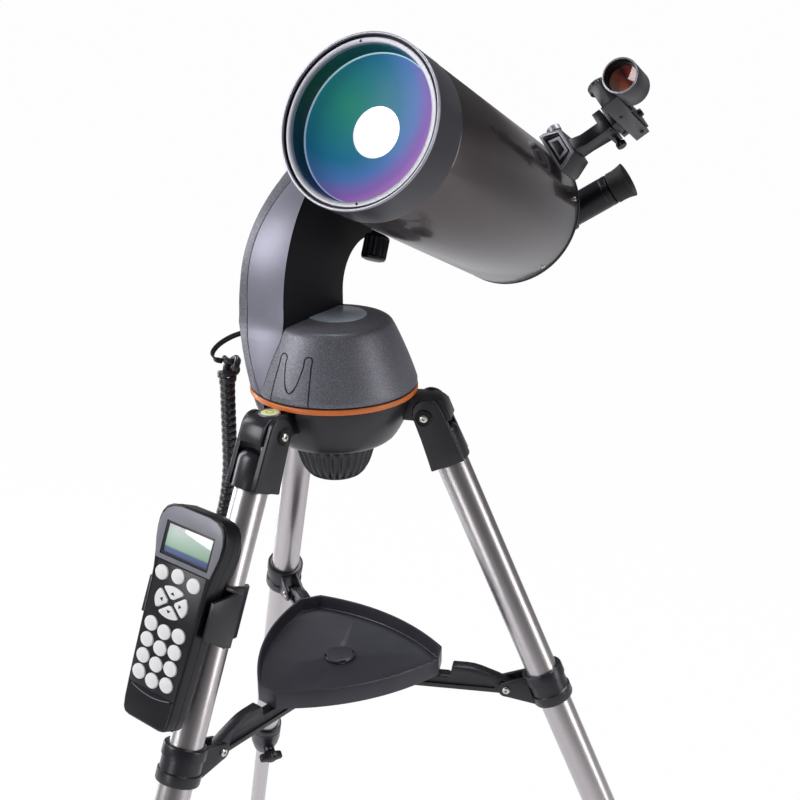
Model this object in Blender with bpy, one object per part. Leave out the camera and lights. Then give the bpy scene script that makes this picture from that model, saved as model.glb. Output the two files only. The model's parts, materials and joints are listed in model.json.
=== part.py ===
"""Maksutov telescope on a single-arm, computer-driven mount and a folding steel tripod.

Lengths are millimetres here and metres in the Blender scene. +Z is up and the
telescope points to -Y. Each sub-part is built in the frame of the piece that it
moves with: the mount, the tube, the finder, the diagonal or a leg.
"""
import math

import bpy
from mathutils import Matrix, Vector

MM = 0.001
GAP = 0.3                                # running gap between touching pieces

# ---- driving dimensions ------------------------------------------------------
AXIS_X, AXIS_Y = -33.26, 84.85            # azimuth axis, which centres the legs on the origin
RING_Z = 880.0                           # height of the accent ring, where the mount turns
ELEVATION = math.radians(23.1)           # how far the tube points up at rest

TUBE_R = 72.4                            # optical tube
TUBE_OFFSET_X = 90.8                     # tube axis from the azimuth axis
PIVOT_Y, PIVOT_Z = 90.0, 185.6           # altitude axis, from the accent ring's centre
FRONT_Z, CELL_Z, REAR_Z = 200.0, 130.0, -110.0
DIAGONAL_Z = -184.4                      # centre of the star diagonal, along the tube
DIAGONAL_TURN = math.radians(54)         # eyepiece direction, from up towards +X
FINDER_TURN = math.radians(47)           # finder direction, from up towards +X

ARM_INNER_X = -20.0                      # arm face beside the tube
ARM_REAR_Y, ARM_FOOT_Z = 47.0, 5.6
ARM_WALL = 3.5

DOME_R, DOME_TOP_R, DOME_FOOT_Z, DOME_TOP_Z = 79.9, 52.0, 4.0, 66.0
SHELL = 3.5

LEG_TURN = math.radians(-8.24)           # tripod turned under the mount
LEG_SPLAY = math.radians(23.17)
HINGE_R, HINGE_Z = 89.8, -22.0           # leg hinge, from the accent ring's centre
LEVEL_R = 87.5                           # bubble level, from the azimuth axis
LEG_OFFSET = 3.5                         # leg axis outside its hinge
LEG_R, LEG_WALL, LOWER_R = 15.875, 1.2, 10.3
COLLAR_TOP, COLLAR_END = -634.0, -692.0  # leg lock, along the leg from the hinge
CLAMP_TOP, CLAMP_END = -296.0, -332.0    # brace clamp
BRACE_OUT_R, BRACE_OUT_Z = 175.4, -316.8
BRACE_IN_R, BRACE_IN_Z = 40.0, -316.0

TRAY_CORNER_R, TRAY_SIDE_R, TRAY_CORNER_HALF = 106.0, 80.0, 12.0
TRAY_TOP, TRAY_FLOOR, TRAY_UNDER, TRAY_SKIRT = -286.0, -301.0, -303.5, -305.0

CONTROL_BACK, CONTROL_FACE = 30.0, 62.0  # hand control, out from the leg's axis
CONTROL_TOP, CONTROL_END = -77.5, -271.0
CORD_D, COIL_D = 5.0, 14.0

BIG, ROUND, MEDIUM, SMALL = 32, 24, 14, 10    # sides of a round piece, by its size


# ---- scene, materials and frames -----------------------------------------------
for old in list(bpy.data.objects):
    bpy.data.objects.remove(old, do_unlink=True)


def material(name, colour, roughness, metallic):
    mat = bpy.data.materials.new(name)
    mat.use_nodes = True
    shader = mat.node_tree.nodes["Principled BSDF"]
    shader.inputs["Base Color"].default_value = (*colour, 1.0)
    shader.inputs["Roughness"].default_value = roughness
    shader.inputs["Metallic"].default_value = metallic
    return mat


TUBE_PAINT = material("tube_paint", (0.10, 0.09, 0.10), 0.25, 0.6)
SATIN = material("satin_charcoal", (0.055, 0.055, 0.065), 0.40, 0.3)
CAST = material("grey_casing", (0.16, 0.16, 0.20), 0.45, 0.35)
BLACK = material("black_plastic", (0.015, 0.015, 0.018), 0.45, 0.0)
RUBBER = material("rubber", (0.02, 0.02, 0.02), 0.8, 0.0)
STEEL = material("bright_steel", (0.70, 0.70, 0.70), 0.2, 1.0)
BRASS = material("brass", (0.78, 0.57, 0.25), 0.3, 1.0)
ORANGE = material("orange_trim", (0.85, 0.25, 0.05), 0.4, 0.0)
GLASS = material("coated_glass", (0.05, 0.35, 0.35), 0.05, 0.0)
MIRROR = material("mirror", (0.9, 0.9, 0.92), 0.03, 1.0)
KEYS = material("keys", (0.75, 0.75, 0.75), 0.5, 0.0)
VIAL = material("vial", (0.6, 0.85, 0.3), 0.1, 0.0)


def frame(name, place, parent=None, turn=None):
    """An empty at a place in millimetres; the pieces parented to it share its axes."""
    empty = bpy.data.objects.new(name, None)
    bpy.context.scene.collection.objects.link(empty)
    empty.parent = parent
    empty.matrix_local = Matrix.Translation(Vector(place) * MM) @ (turn or Matrix.Identity(4))
    return empty


def turn_z(angle):
    return Matrix.Rotation(angle, 4, "Z")


# ---- shapes -------------------------------------------------------------------
def solid(name, points, faces, mat, parent, smooth=True):
    mesh = bpy.data.meshes.new(name)
    mesh.from_pydata([Vector(point) * MM for point in points], [], faces)
    mesh.materials.append(mat)
    orient_outwards(mesh)
    if smooth:
        mesh.shade_smooth()
        mesh.set_sharp_from_angle(angle=math.radians(35))
    piece = bpy.data.objects.new(name, mesh)
    piece.parent = parent
    bpy.context.scene.collection.objects.link(piece)
    return piece


def orient_outwards(mesh):
    import bmesh
    work = bmesh.new()
    work.from_mesh(mesh)
    bmesh.ops.recalc_face_normals(work, faces=work.faces)
    work.to_mesh(mesh)
    work.free()


def turned(name, profile, mat, parent, sides=ROUND, axis="Z", centre=(0, 0, 0)):
    """Turn (radius, height) points about an axis.

    A profile that starts and ends at radius 0 makes a solid; any other is closed
    on itself and makes a ring.
    """
    points, rings = [], []
    for radius, height in profile:
        if radius == 0:
            rings.append([len(points)])
            points.append((0, 0, height))
        else:
            rings.append(list(range(len(points), len(points) + sides)))
            for i in range(sides):
                angle = 2 * math.pi * i / sides
                points.append((radius * math.cos(angle), radius * math.sin(angle), height))
    faces = []
    pairs = list(zip(rings, rings[1:]))
    if profile[0][0] != 0:
        pairs.append((rings[-1], rings[0]))
    for low, high in pairs:
        for i in range(sides):
            j = (i + 1) % sides
            if len(low) == 1 and len(high) > 1:
                faces.append((low[0], high[i], high[j]))
            elif len(high) == 1 and len(low) > 1:
                faces.append((low[i], low[j], high[0]))
            elif len(low) > 1:
                faces.append((low[i], low[j], high[j], high[i]))
    swap = {"Z": lambda p: p, "X": lambda p: (p[2], p[0], p[1]), "Y": lambda p: (p[1], p[2], p[0])}
    points = [tuple(a + b for a, b in zip(swap[axis](p), centre)) for p in points]
    return solid(name, points, faces, mat, parent)


def rod(name, radius, low, high, mat, parent, sides=ROUND, axis="Z", centre=(0, 0, 0), edge=0.0):
    """A cylinder between two heights, with an optional chamfer at both ends."""
    profile = [(0, low), (radius - edge, low), (radius, low + edge),
               (radius, high - edge), (radius - edge, high), (0, high)]
    if edge == 0:
        profile = [(0, low), (radius, low), (radius, high), (0, high)]
    return turned(name, profile, mat, parent, sides, axis, centre)


def sleeve(name, outer, inner, low, high, mat, parent, sides=ROUND, edge=0.0, **place):
    profile = [(outer, low + edge), (outer, high - edge), (outer - edge, high), (inner, high),
               (inner, low), (outer - edge, low)]
    if edge == 0:
        profile = [(outer, low), (outer, high), (inner, high), (inner, low)]
    return turned(name, profile, mat, parent, sides, **place)


def prism(name, outline, low, high, mat, parent, axis="Z"):
    """Extrude an outline. Its two coordinates run round the axis: XY, YZ or ZX."""
    count = len(outline)
    place = {"Z": lambda a, b, h: (a, b, h), "X": lambda a, b, h: (h, a, b),
             "Y": lambda a, b, h: (b, h, a)}[axis]
    points = [place(a, b, low) for a, b in outline] + [place(a, b, high) for a, b in outline]
    faces = [tuple(range(count)), tuple(range(count, 2 * count))]
    for i in range(count):
        j = (i + 1) % count
        faces.append((i, j, count + j, count + i))
    return solid(name, points, faces, mat, parent)


def block(name, low, high, mat, parent, edge=0.0):
    """A box between two corners, with its edges broken."""
    outline = [(low[0], low[1]), (high[0], low[1]), (high[0], high[1]), (low[0], high[1])]
    box = prism(name, outline, low[2], high[2], mat, parent)
    if edge:
        break_edges(box, edge)
    return box


def break_edges(piece, width, segments=1):
    bevel = piece.modifiers.new("edges", "BEVEL")
    bevel.width = width * MM
    bevel.segments = segments
    bevel.limit_method = "ANGLE"
    bevel.angle_limit = math.radians(40)


def combine(piece, operation, *others):
    """Cut, join or intersect a piece with guide solids, which stay out of the object."""
    for other in others:
        other.hide_render = True
        other.display_type = "WIRE"
        step = piece.modifiers.new(operation.lower(), "BOOLEAN")
        step.operation = operation
        step.solver = "EXACT"
        step.object = other


def arc(centre, radius, start, end, count):
    """Points on a circle from one angle to another, in degrees."""
    step = (end - start) / (count - 1)
    angles = [math.radians(start + step * i) for i in range(count)]
    return [(centre[0] + radius * math.cos(a), centre[1] + radius * math.sin(a)) for a in angles]


# ---- frames -------------------------------------------------------------------
mount = frame("mount_frame", (AXIS_X, AXIS_Y, RING_Z))
tube = frame("tube_frame", (TUBE_OFFSET_X, PIVOT_Y, PIVOT_Z), mount,
             Matrix.Rotation(math.pi / 2 - ELEVATION, 4, "X"))
diagonal = frame("diagonal_frame", (0, 0, DIAGONAL_Z), tube, turn_z(-DIAGONAL_TURN))
finder = frame("finder_frame", (0, 0, 0), tube, turn_z(-FINDER_TURN))
LEG_ANGLES = [LEG_TURN + math.radians(270 + 120 * i) for i in range(3)]
legs = []
for number, angle in enumerate(LEG_ANGLES, 1):
    hinge = (HINGE_R * math.cos(angle), HINGE_R * math.sin(angle), HINGE_Z)
    splay = turn_z(angle) @ Matrix.Rotation(-LEG_SPLAY, 4, "Y")
    legs.append(frame(f"leg_frame_{number}", hinge, mount, splay))


# ---- optical tube: local Z runs forward along the tube, local Y is up -----------
def optical_tube():
    sleeve("tube_shell", TUBE_R, TUBE_R - 1.6, REAR_Z + 4, CELL_Z, TUBE_PAINT, tube, BIG)
    cell = [(72.6, CELL_Z + GAP), (72.6, FRONT_Z - 0.8), (71.9, FRONT_Z), (70.4, FRONT_Z),
            (70.1, 196), (69.0, 196), (69.0, 180.8), (62.5, 178.4), (62.5, 174), (68.0, 170),
            (68.0, 116), (70.4, 116), (70.4, CELL_Z + GAP)]
    turned("front_cell", cell, SATIN, tube, BIG)
    turned("corrector_lens", meniscus(68.6, 193.5, 12.0, 175.0), GLASS, tube, ROUND)
    turned("primary_mirror", primary(), MIRROR, tube, ROUND)
    baffle = [(24, -104), (24, -100.5), (16, -99), (15.4, -60), (13.4, -22), (12.2, -22),
              (13.8, -60), (14.2, -104)]
    turned("baffle_tube", baffle, BLACK, tube, MEDIUM)
    rear = [(72.6, REAR_Z + 3.7), (72.6, REAR_Z + 1.6), (71.0, REAR_Z), (19.5, REAR_Z),
            (19.5, -104.4), (67, -104.4), (67, -96), (70.4, -96), (70.4, REAR_Z + 3.7)]
    back = turned("rear_cell", rear, SATIN, tube, BIG)
    knob_at = (30.0, -32.0, 0.0)
    combine(back, "DIFFERENCE", rod("focus_hole", 3.5, -115, -100, SATIN, tube, SMALL, centre=knob_at))
    knob = [(0, -97), (3.1, -97), (3.1, -110.4), (8, -110.4), (8, -112), (11.5, -112.6),
            (12.5, -115), (12.5, -130), (11, -133), (0, -133)]
    turned("focus_knob", knob, BLACK, tube, MEDIUM, centre=knob_at)
    port = [(26, REAR_Z - GAP), (26, -115), (22, -117), (22, -133), (20.8, -134.5),
            (16.2, -134.5), (16.2, -104.4), (19.2, -104.4), (19.2, REAR_Z - GAP)]
    turned("visual_back", port, BLACK, tube, ROUND)
    bar = [(-22, -87), (22, -87), (18, -73.4), (-18, -73.4)]
    rail = prism("dovetail_bar", [(x, y) for y, x in bar], -62, 62, SATIN, tube)
    break_edges(rail, 0.8)


def meniscus(radius, edge_z, thickness, curve):
    """Turned profile of the deep corrector, hollow towards the sky on both faces."""
    def sag(r):
        return curve - math.sqrt(curve * curve - r * r)

    steps = [radius * i / 5 for i in range(6)]
    centre_z = edge_z - sag(radius)
    front = [(r, centre_z + sag(r)) for r in steps]
    back = [(r, centre_z - thickness + sag(r)) for r in reversed(steps)]
    return front + back


def primary():
    """Turned profile of the main mirror, with the hole that slides on the baffle."""
    depth = 2.6
    face = [(r, -78 + depth * (r / 64) ** 2) for r in (64, 48, 32, 16.8)]
    return face + [(16.8, -94), (42, -94), (65, -91), (65, -76)]


# ---- star diagonal and eyepiece: local Y points to the eye -----------------------
def eyepiece_end():
    outline = [(-19, 26), (-19, 10), (10, -20), (19, -20), (19, 26)]
    body = prism("star_diagonal", outline, -18, 18, BLACK, diagonal, "X")
    break_edges(body, 1.6)
    nose = rod("diagonal_nose", 15.9, 20, 71, BLACK, diagonal, MEDIUM)
    socket = rod("diagonal_socket", 18.6, 15, 38, BLACK, diagonal, MEDIUM, "Y")
    nose_bore = rod("nose_bore", 13.0, -6, 75, BLACK, diagonal, MEDIUM)
    socket_bore = rod("socket_bore", 15.9, 20, 45, BLACK, diagonal, MEDIUM, "Y")
    light_bore = rod("light_bore", 12.4, -4, 30, BLACK, diagonal, MEDIUM, "Y")
    combine(body, "UNION", nose, socket)
    combine(body, "DIFFERENCE", nose_bore, socket_bore, light_bore)
    barrel = [(0, 26), (13, 26), (13, 21), (15.6, 21), (15.6, 38.3), (16.0, 38.3), (16.0, 86.7),
              (14.0, 88), (14.0, 97), (10, 97), (9, 95), (0, 95)]
    turned("eyepiece", barrel, BLACK, diagonal, MEDIUM, "Y")
    cup = [(16.2, 88.4), (16.4, 98), (18.4, 106.5), (17.6, 107), (15.4, 100), (14.4, 97),
           (14.4, 88.4)]
    turned("eyecup", cup, RUBBER, diagonal, MEDIUM, "Y")


# ---- red-dot finder: local Y points away from the tube ---------------------------
def red_dot_finder():
    front, back = 200.6 - 253, 200.6 - 292
    shoe = prism("finder_shoe", [(-21, 72.9), (21, 72.9), (21, 78), (14, 94), (-14, 94), (-21, 78)],
                 back, front, BLACK, finder)
    slot = prism("shoe_slot", [(-13, 77), (13, 77), (9.5, 90), (-9.5, 90)],
                 back - 5, front + 5, BLACK, finder)
    mouth = block("shoe_mouth", (-7, 80, back - 5), (7, 100, front - 9), BLACK, finder)
    combine(shoe, "DIFFERENCE", slot, mouth)
    foot = prism("finder_base", [(-12.4, 77.4), (12.4, 77.4), (9.0, 89.6), (-9.0, 89.6)],
                 back + 1, front - 1, BLACK, finder)
    stalk = loft("finder_stalk", [(88, 6.4, -92, -62), (104, 6.0, -94, -72), (126, 6.0, -100, -74)],
                 BLACK, finder)
    cradle = block("finder_cradle", (-11, 124, -100), (11, 139.7, -63), BLACK, finder, 1.0)
    combine(foot, "UNION", stalk, cradle)
    body = block("finder_body", (-12, 140.0, -122), (12, 158, -19), BLACK, finder, 1.5)
    post = block("hood_post", (-9, 150, -44), (9, 160, -19), BLACK, finder)
    combine(body, "UNION", post)
    combine(body, "DIFFERENCE", rod("hood_seat", 17.3, -60, 0, BLACK, finder, ROUND, centre=(0, 169, 0)))
    sleeve("finder_hood", 17, 14.6, -48, -12, BLACK, finder, ROUND, 0.6, centre=(0, 169, 0))
    dial = [(0, -12.3), (10, -12.3), (10.5, -13), (10.5, -19), (9.5, -20), (0, -20)]
    turned("finder_dial", dial, BLACK, finder, MEDIUM, "X", (0, 146, -37))


def loft(name, levels, mat, parent):
    """A tapering block: each level gives its height, half width and the two ends in Z."""
    points, faces = [], []
    for height, half, low, high in levels:
        points += [(-half, height, low), (half, height, low), (half, height, high),
                   (-half, height, high)]
    for k in range(len(levels) - 1):
        for i in range(4):
            j = (i + 1) % 4
            faces.append((4 * k + i, 4 * k + j, 4 * k + 4 + j, 4 * k + 4 + i))
    faces += [(0, 1, 2, 3), tuple(len(points) - 4 + i for i in range(4))]
    return solid(name, points, faces, mat, parent)


# ---- altitude bearing: saddle, shaft, gear and worm -------------------------------
def altitude_drive():
    pivot = (-TUBE_OFFSET_X, 0, 0)
    saddle = block("saddle_plate", (-106, -36, -42), (-87.4, 36, 42), SATIN, tube, 2.0)
    hub = rod("saddle_hub", 38, -110.4, -105, SATIN, tube, ROUND, "X")
    upper = block("upper_jaw", (-88, 22.6, -40), (-78, 34, 40), SATIN, tube)
    lower = block("lower_jaw", (-88, -34, -40), (-78, -22.6, 40), SATIN, tube)
    bore = rod("clamp_bore", 3.5, -40, -20, SATIN, tube, SMALL, "Y", (-83, 0, 0))
    combine(saddle, "UNION", hub, upper, lower)
    combine(saddle, "DIFFERENCE", bore)
    knob = [(0, -22.4), (3.1, -22.4), (3.1, -50), (6.5, -50), (6.5, -55), (8, -55.6), (11.2, -57),
            (12.4, -60), (12.4, -76), (11.4, -80), (8, -81.5), (0, -81.5)]
    turned("clamp_knob", knob, BLACK, tube, MEDIUM, "Y", (-83, 0, 0))
    shaft = [(0, 110.7), (11.8, 110.7), (11.8, 119.5), (34, 119.5), (34, 127), (11, 127),
             (11, 131), (0, 131)]
    turned("altitude_gear", [(r, -h) for r, h in shaft], BRASS, tube, ROUND, "X")
    worm_at = (-32.5, PIVOT_Y, PIVOT_Z - 40.2)
    rod("altitude_worm", 5.6, -19, 19, STEEL, mount, SMALL, "Y", worm_at, 1.0)
    return pivot


# ---- the arm: a crescent that carries the tube on one side -------------------------
def arm_outline(inset=0.0):
    """Side view of the arm in (y, z): round front, round head, hollow back."""
    front = arc((101, 80), 152 - inset, 180, 96, 15)
    head = arc((96, 178.5), 53.3 - inset, 84, -88, 14)
    hollow = arc((92, 80), 45 + inset, 88, 180, 9)
    toe = [(-73.2, ARM_FOOT_Z), (-69.5, 18), (-65.9, 29), (-61.4, 42), (-57.4, 53), (-53.4, 63)]
    toe = [(y + inset * 1.06, max(z, ARM_FOOT_Z + inset)) for y, z in toe]
    return front + head + hollow + [(ARM_REAR_Y - inset, ARM_FOOT_Z + inset)] + toe


def arm_round(inset=0.0):
    """Body of revolution that rounds the foot of the arm to follow the dome."""
    profile = [(80.0, 0), (80.4, 4), (84.7, 24), (87.5, 41), (88.8, 59), (95, 66), (140, 80), (140, 260)]
    profile = [(radius - inset, z) for radius, z in profile]
    return turned("arm_round", [(0, 0)] + profile + [(0, 260)], CAST, mount, 2 * BIG)


def seam_x(z):
    """Where the arm's inner shell meets its outer cover."""
    if z < 70:
        return -61.0 + 29.0 * ((70 - z) / 66) ** 1.5
    if z < 115:
        return -61.0
    bend = 18.0 * ((min(z, 190.0) - 115) / 75) ** 2
    return -61.0 + bend + max(0.0, z - 190) * 0.22


def outer_x(z):
    """The arm's outer face, which leans in towards its head."""
    foot = -3.0 * min(1.0, max(0.0, 105 - z) / 25)
    lean = 14.0 * (max(0.0, min(z, 190.0) - 105) / 85) ** 2
    return -70.0 + foot + lean + max(0.0, z - 190) * 0.26


def front_view(name, left, right, mat):
    """A prism along Y between two curves of x over the arm's height."""
    heights = [4, 12, 22, 32, 42, 52, 62, 70, 80, 105, 115, 130, 145, 160, 175, 190, 240]
    side = [(z, left(z)) for z in heights]
    other = [(z, right(z)) for z in reversed(heights)]
    return prism(name, side + other, -80, 180, mat, mount, "Y")


def arm():
    shell = prism("arm_shell", arm_outline(), -95, ARM_INNER_X, CAST, mount, "X")
    keep = front_view("shell_keep", seam_x, lambda z: -10.0, CAST)
    inner = prism("arm_inner", arm_outline(ARM_WALL), -95, ARM_INNER_X - ARM_WALL, CAST, mount, "X")
    bearing = rod("arm_bearing", 12.4, -30, -10, CAST, mount, MEDIUM, "X", (0, PIVOT_Y, PIVOT_Z))
    gear_room = rod("gear_room", 46.6, 0, 8.4, CAST, mount)
    combine(shell, "INTERSECT", keep, arm_round())
    combine(shell, "DIFFERENCE", inner, bearing, gear_room)
    cover = prism("arm_cover", arm_outline(0.2), -95, ARM_INNER_X - 1, CAST, mount, "X")
    skin = front_view("cover_keep", outer_x, lambda z: seam_x(z) - GAP, CAST)
    hollow = front_view("cover_hollow", lambda z: outer_x(z) + 3.0, lambda z: 0.0, CAST)
    room = prism("cover_room", arm_outline(4.0), -95, 0, CAST, mount, "X")
    combine(hollow, "INTERSECT", room, arm_round(3.5))
    combine(cover, "INTERSECT", skin, arm_round(0.1))
    combine(cover, "DIFFERENCE", hollow, gear_room)


# ---- the dome: it turns on the tripod and holds the batteries ----------------------
def dome_radius(z):
    lift = max(0.0, z - 8)
    return DOME_R - 0.33 * lift - 0.0016 * lift * lift


def dome_profile(wall=SHELL):
    heights = [8, 26, 44, 60]
    outside = [(DOME_R, DOME_FOOT_Z)] + [(dome_radius(z), z) for z in heights]
    outside += [(55.6, 64.4), (DOME_TOP_R, DOME_TOP_Z)]
    inside = [(51, DOME_TOP_Z - wall)]
    inside += [(dome_radius(z) - wall, z) for z in (55, 30)] + [(DOME_R - wall, DOME_FOOT_Z)]
    return [(0, DOME_TOP_Z)] + outside[::-1] + inside[::-1] + [(0, DOME_TOP_Z - wall)]


def hatch_outline(grow=0.0):
    """M shape of the battery door in (z, x): two ears beside a finger notch."""
    half = [(47, 12.0), (44.5, 14.2), (34, 16.0), (18, 18.5), (1, 20.0)]
    notch = [(13, 0.0), (15.5, 4.2), (24, 7.2), (36, 9.0), (44.5, 10.2)]
    right = [(z + grow, x + grow) for z, x in half]
    inner = [(z + grow, x - grow if x else x) for z, x in notch]
    ring = inner + right
    mirrored = [(z, -x) for z, x in reversed(ring) if x > 0]
    return [(z, x + 3.0) for z, x in ring + mirrored]


def dome():
    shell = turned("dome_housing", dome_profile(), CAST, mount, BIG)
    notch = prism("arm_notch", arm_outline(-0.35), -99, ARM_INNER_X + 0.35, CAST, mount, "X")
    hatch_room = prism("hatch_room", hatch_outline(0.9), -99, -50, CAST, mount, "Y")
    combine(shell, "DIFFERENCE", notch, hatch_room)
    door = turned("battery_door", dome_profile(2.0), CAST, mount, BIG)
    keep = prism("hatch_keep", hatch_outline(), -99, -51, CAST, mount, "Y")
    combine(door, "INTERSECT", keep)
    ring = [(80.4, -1.6), (80.4, 1.6), (79.4, 2.6), (73, 2.6), (73, -2.6), (79.4, -2.6)]
    turned("accent_ring", ring, ORANGE, mount, BIG)


# ---- tripod head, azimuth gear and the screw below ----------------------------------
def tripod_head():
    outside = [(78, -3), (77, -10), (71, -26), (63, -41), (56, -49.5), (50, -51.5), (42, -52)]
    inside = [(0, 26), (19, 26), (19, -2), (24, -4), (24, -36), (46, -36), (62, -14), (66, -3)]
    screw_hole = [(6.5, -52), (6.5, -30), (0, -30)]
    head = turned("tripod_head", inside + outside + screw_hole, BLACK, mount, BIG)
    lugs, holes, pockets = [], [], []
    for angle in LEG_ANGLES:
        lug_frame = frame("lug_frame", (0, 0, 0), mount, turn_z(angle))
        outline = [(-4.2, 60), (-4.2, 98), (-7.4, 105.8), (-10.6, 109.6), (-24.6, 115.4), (-33, 101),
                   (-33, 92), (-28, 84), (-27, 56)]
        lugs.append(prism("lug", outline, -13.5, 13.5, BLACK, lug_frame, "Y"))
        holes.append(rod("lug_hole", 4.4, -20, 20, BLACK, lug_frame, SMALL, "Y", (HINGE_R, 0, HINGE_Z)))
        pockets.append(block("cheek_pocket", (69.5, -20.3, -31), (130, 20.3, 0), BLACK, lug_frame))
    level_at = (LEVEL_R * math.cos(LEG_ANGLES[0]), LEVEL_R * math.sin(LEG_ANGLES[0]), 0)
    holes.append(rod("level_seat", 11, -7, 0, BLACK, mount, ROUND, centre=level_at))
    combine(head, "DIFFERENCE", *pockets)
    combine(head, "UNION", *lugs)
    combine(head, "DIFFERENCE", *holes)
    sleeve("azimuth_gear", 46, 19.3, 3.0, 8.0, BRASS, mount, ROUND)
    rod("azimuth_worm", 5.6, -22, 22, STEEL, mount, SMALL, "Y", (52.2, 0, 5.5), 1.0)
    vial = [(0, -6.7), (10.4, -6.7), (10.4, -3.8), (9.6, -3.1), (8, -3.1), (8, -3.5), (0, -3.5)]
    turned("bubble_level", vial, VIAL, mount, MEDIUM, centre=level_at)
    cup = [(0, -34), (6.1, -34), (6.1, -52.4), (40.5, -52.4), (41.3, -54), (38, -64), (35, -74),
           (31.5, -82), (28, -87), (24, -90), (0, -90.6)]
    turned("mount_knob", cup, BLACK, mount, ROUND)


# ---- legs: local Z runs up along the leg, local X points out -------------------------
def leg(number, parent):
    side = [(19.5, -54), (18.8, -20), (18.2, 3), (16.5, 9.5), (12, 14.5), (6, 17), (1, 16.5),
            (-3.5, 14.2), (-8.5, 9.5), (-10.4, 4), (-11.5, -20), (-14.5, -54)]
    head = prism(f"leg_head_{number}", [(z, x) for x, z in side], -19.5, 19.5, BLACK, parent, "Y")
    break_edges(head, 1.2)
    slot = block("head_slot", (-40, -13.9, -60), (40, 13.9, 40), BLACK, parent)
    housing = turned("head_housing", [(0, -19.4), (15, -19.4), (18.5, -24), (19.4, -30), (19.4, -54.5),
                                      (0, -54.5)], BLACK, parent, ROUND, centre=(LEG_OFFSET, 0, 0))
    bore = rod("head_bore", LEG_R + GAP, -70, -23, BLACK, parent, ROUND, centre=(LEG_OFFSET, 0, 0))
    pin = rod("hinge_pin", 4.0, -19, 19, STEEL, parent, SMALL, "Y")
    combine(head, "DIFFERENCE", slot)
    combine(head, "UNION", housing)
    combine(head, "DIFFERENCE", bore)
    combine(head, "UNION", pin)
    on_leg = {"centre": (LEG_OFFSET, 0, 0)}
    sleeve(f"leg_tube_{number}", LEG_R, LEG_R - LEG_WALL, COLLAR_TOP - 8, -23.4, STEEL, parent,
           ROUND, **on_leg)
    lower_leg(number, parent)
    lock = [(20, COLLAR_TOP - 3), (18.5, COLLAR_TOP), (16.5, COLLAR_TOP), (16.5, COLLAR_TOP - 8.4),
            (10.8, COLLAR_TOP - 8.4), (10.8, COLLAR_END), (14, COLLAR_END), (15, COLLAR_END + 3),
            (20, COLLAR_TOP - 30)]
    collar = turned(f"lock_collar_{number}", lock, BLACK, parent, MEDIUM, **on_leg)
    knob_at = (0, 0, COLLAR_TOP - 40)
    boss = rod("collar_boss", 8, -22, -8, BLACK, parent, SMALL, "X", knob_at)
    hollow = rod("collar_bore", 10.8, COLLAR_END - 5, COLLAR_TOP - 8.4, BLACK, parent, MEDIUM, **on_leg)
    thread = rod("collar_thread", 3.4, -30, -2, BLACK, parent, SMALL, "X", knob_at)
    combine(collar, "UNION", boss)
    combine(collar, "DIFFERENCE", hollow, thread)
    wing = prism(f"lock_knob_{number}", [(-15, -3), (-6, -6.5), (6, -6.5), (15, -3), (15, 3),
                                         (6, 6.5), (-6, 6.5), (-15, 3)],
                 -34, -22.4, BLACK, parent, "X")
    wing.data.transform(Matrix.Translation(Vector(knob_at) * MM))
    break_edges(wing, 1.0)
    combine(wing, "UNION", rod("knob_stem", 3.0, -26, -8, STEEL, parent, SMALL, "X", knob_at))
    brace_clamp(number, parent)


def lower_leg(number, parent):
    """Inner leg with its rubber foot, cut level with the floor."""
    floor_z = -(RING_Z + HINGE_Z) / math.cos(LEG_SPLAY)
    rubber_top = floor_z + 30
    profile = [(0, -500), (14.2, -500), (14.2, -520), (LOWER_R, -522), (LOWER_R, rubber_top),
               (12.5, rubber_top - 2), (14.5, rubber_top - 10), (14.5, floor_z - 10), (0, floor_z - 10)]
    piece = turned(f"leg_lower_{number}", profile, STEEL, parent, MEDIUM, centre=(LEG_OFFSET, 0, 0))
    ground = block("ground", (-900, -900, -100), (900, 900, 0), BLACK, None)
    combine(piece, "DIFFERENCE", ground)


def in_leg(radius, height):
    """A point in a leg's plane, given from the azimuth axis, in the leg's own axes."""
    out, up = radius - HINGE_R, height - HINGE_Z
    return (out * math.cos(LEG_SPLAY) + up * math.sin(LEG_SPLAY),
            up * math.cos(LEG_SPLAY) - out * math.sin(LEG_SPLAY))


def brace_clamp(number, parent):
    pin_x, pin_z = in_leg(BRACE_OUT_R, BRACE_OUT_Z)
    ring = sleeve(f"brace_clamp_{number}", 21, LEG_R + GAP, CLAMP_END, CLAMP_TOP, BLACK, parent,
                  ROUND, 1.5, centre=(LEG_OFFSET, 0, 0))
    ears = []
    for low, high in ((-10.5, -6.6), (6.6, 10.5)):
        outline = arc((pin_z, pin_x), 8.5, -150, -30, 7) + [(CLAMP_TOP - 3, -14), (CLAMP_END + 3, -14)]
        ears.append(prism("clamp_ear", outline, low, high, BLACK, parent, "Y"))
    pin = rod("brace_pin", 2.8, -9, 9, STEEL, parent, SMALL, "Y", (pin_x, 0, pin_z))
    combine(ring, "UNION", *ears, pin)


def brace(number, angle):
    """Spreader bar between a leg's clamp and the hub, tall outside the tray."""
    plane = frame(f"brace_frame_{number}", (0, 0, 0), mount, turn_z(angle))
    outer = arc((BRACE_OUT_Z, BRACE_OUT_R), 7.5, 180, 60, 7)
    inner = arc((BRACE_IN_Z, BRACE_IN_R), 6.5, 0, -180, 7)
    outline = outer + [(-306, 166), (-299, 147), (-297.5, 134), (-297.5, 119), (-309, 117)] + inner
    outline += [(-324.3, 60)]
    piece = prism(f"brace_arm_{number}", outline, -6, 6, BLACK, plane, "Y")
    hole = rod("brace_hole", 3.1, -10, 10, BLACK, plane, SMALL, "Y", (BRACE_OUT_R, 0, BRACE_OUT_Z))
    combine(piece, "DIFFERENCE", hole)


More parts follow.
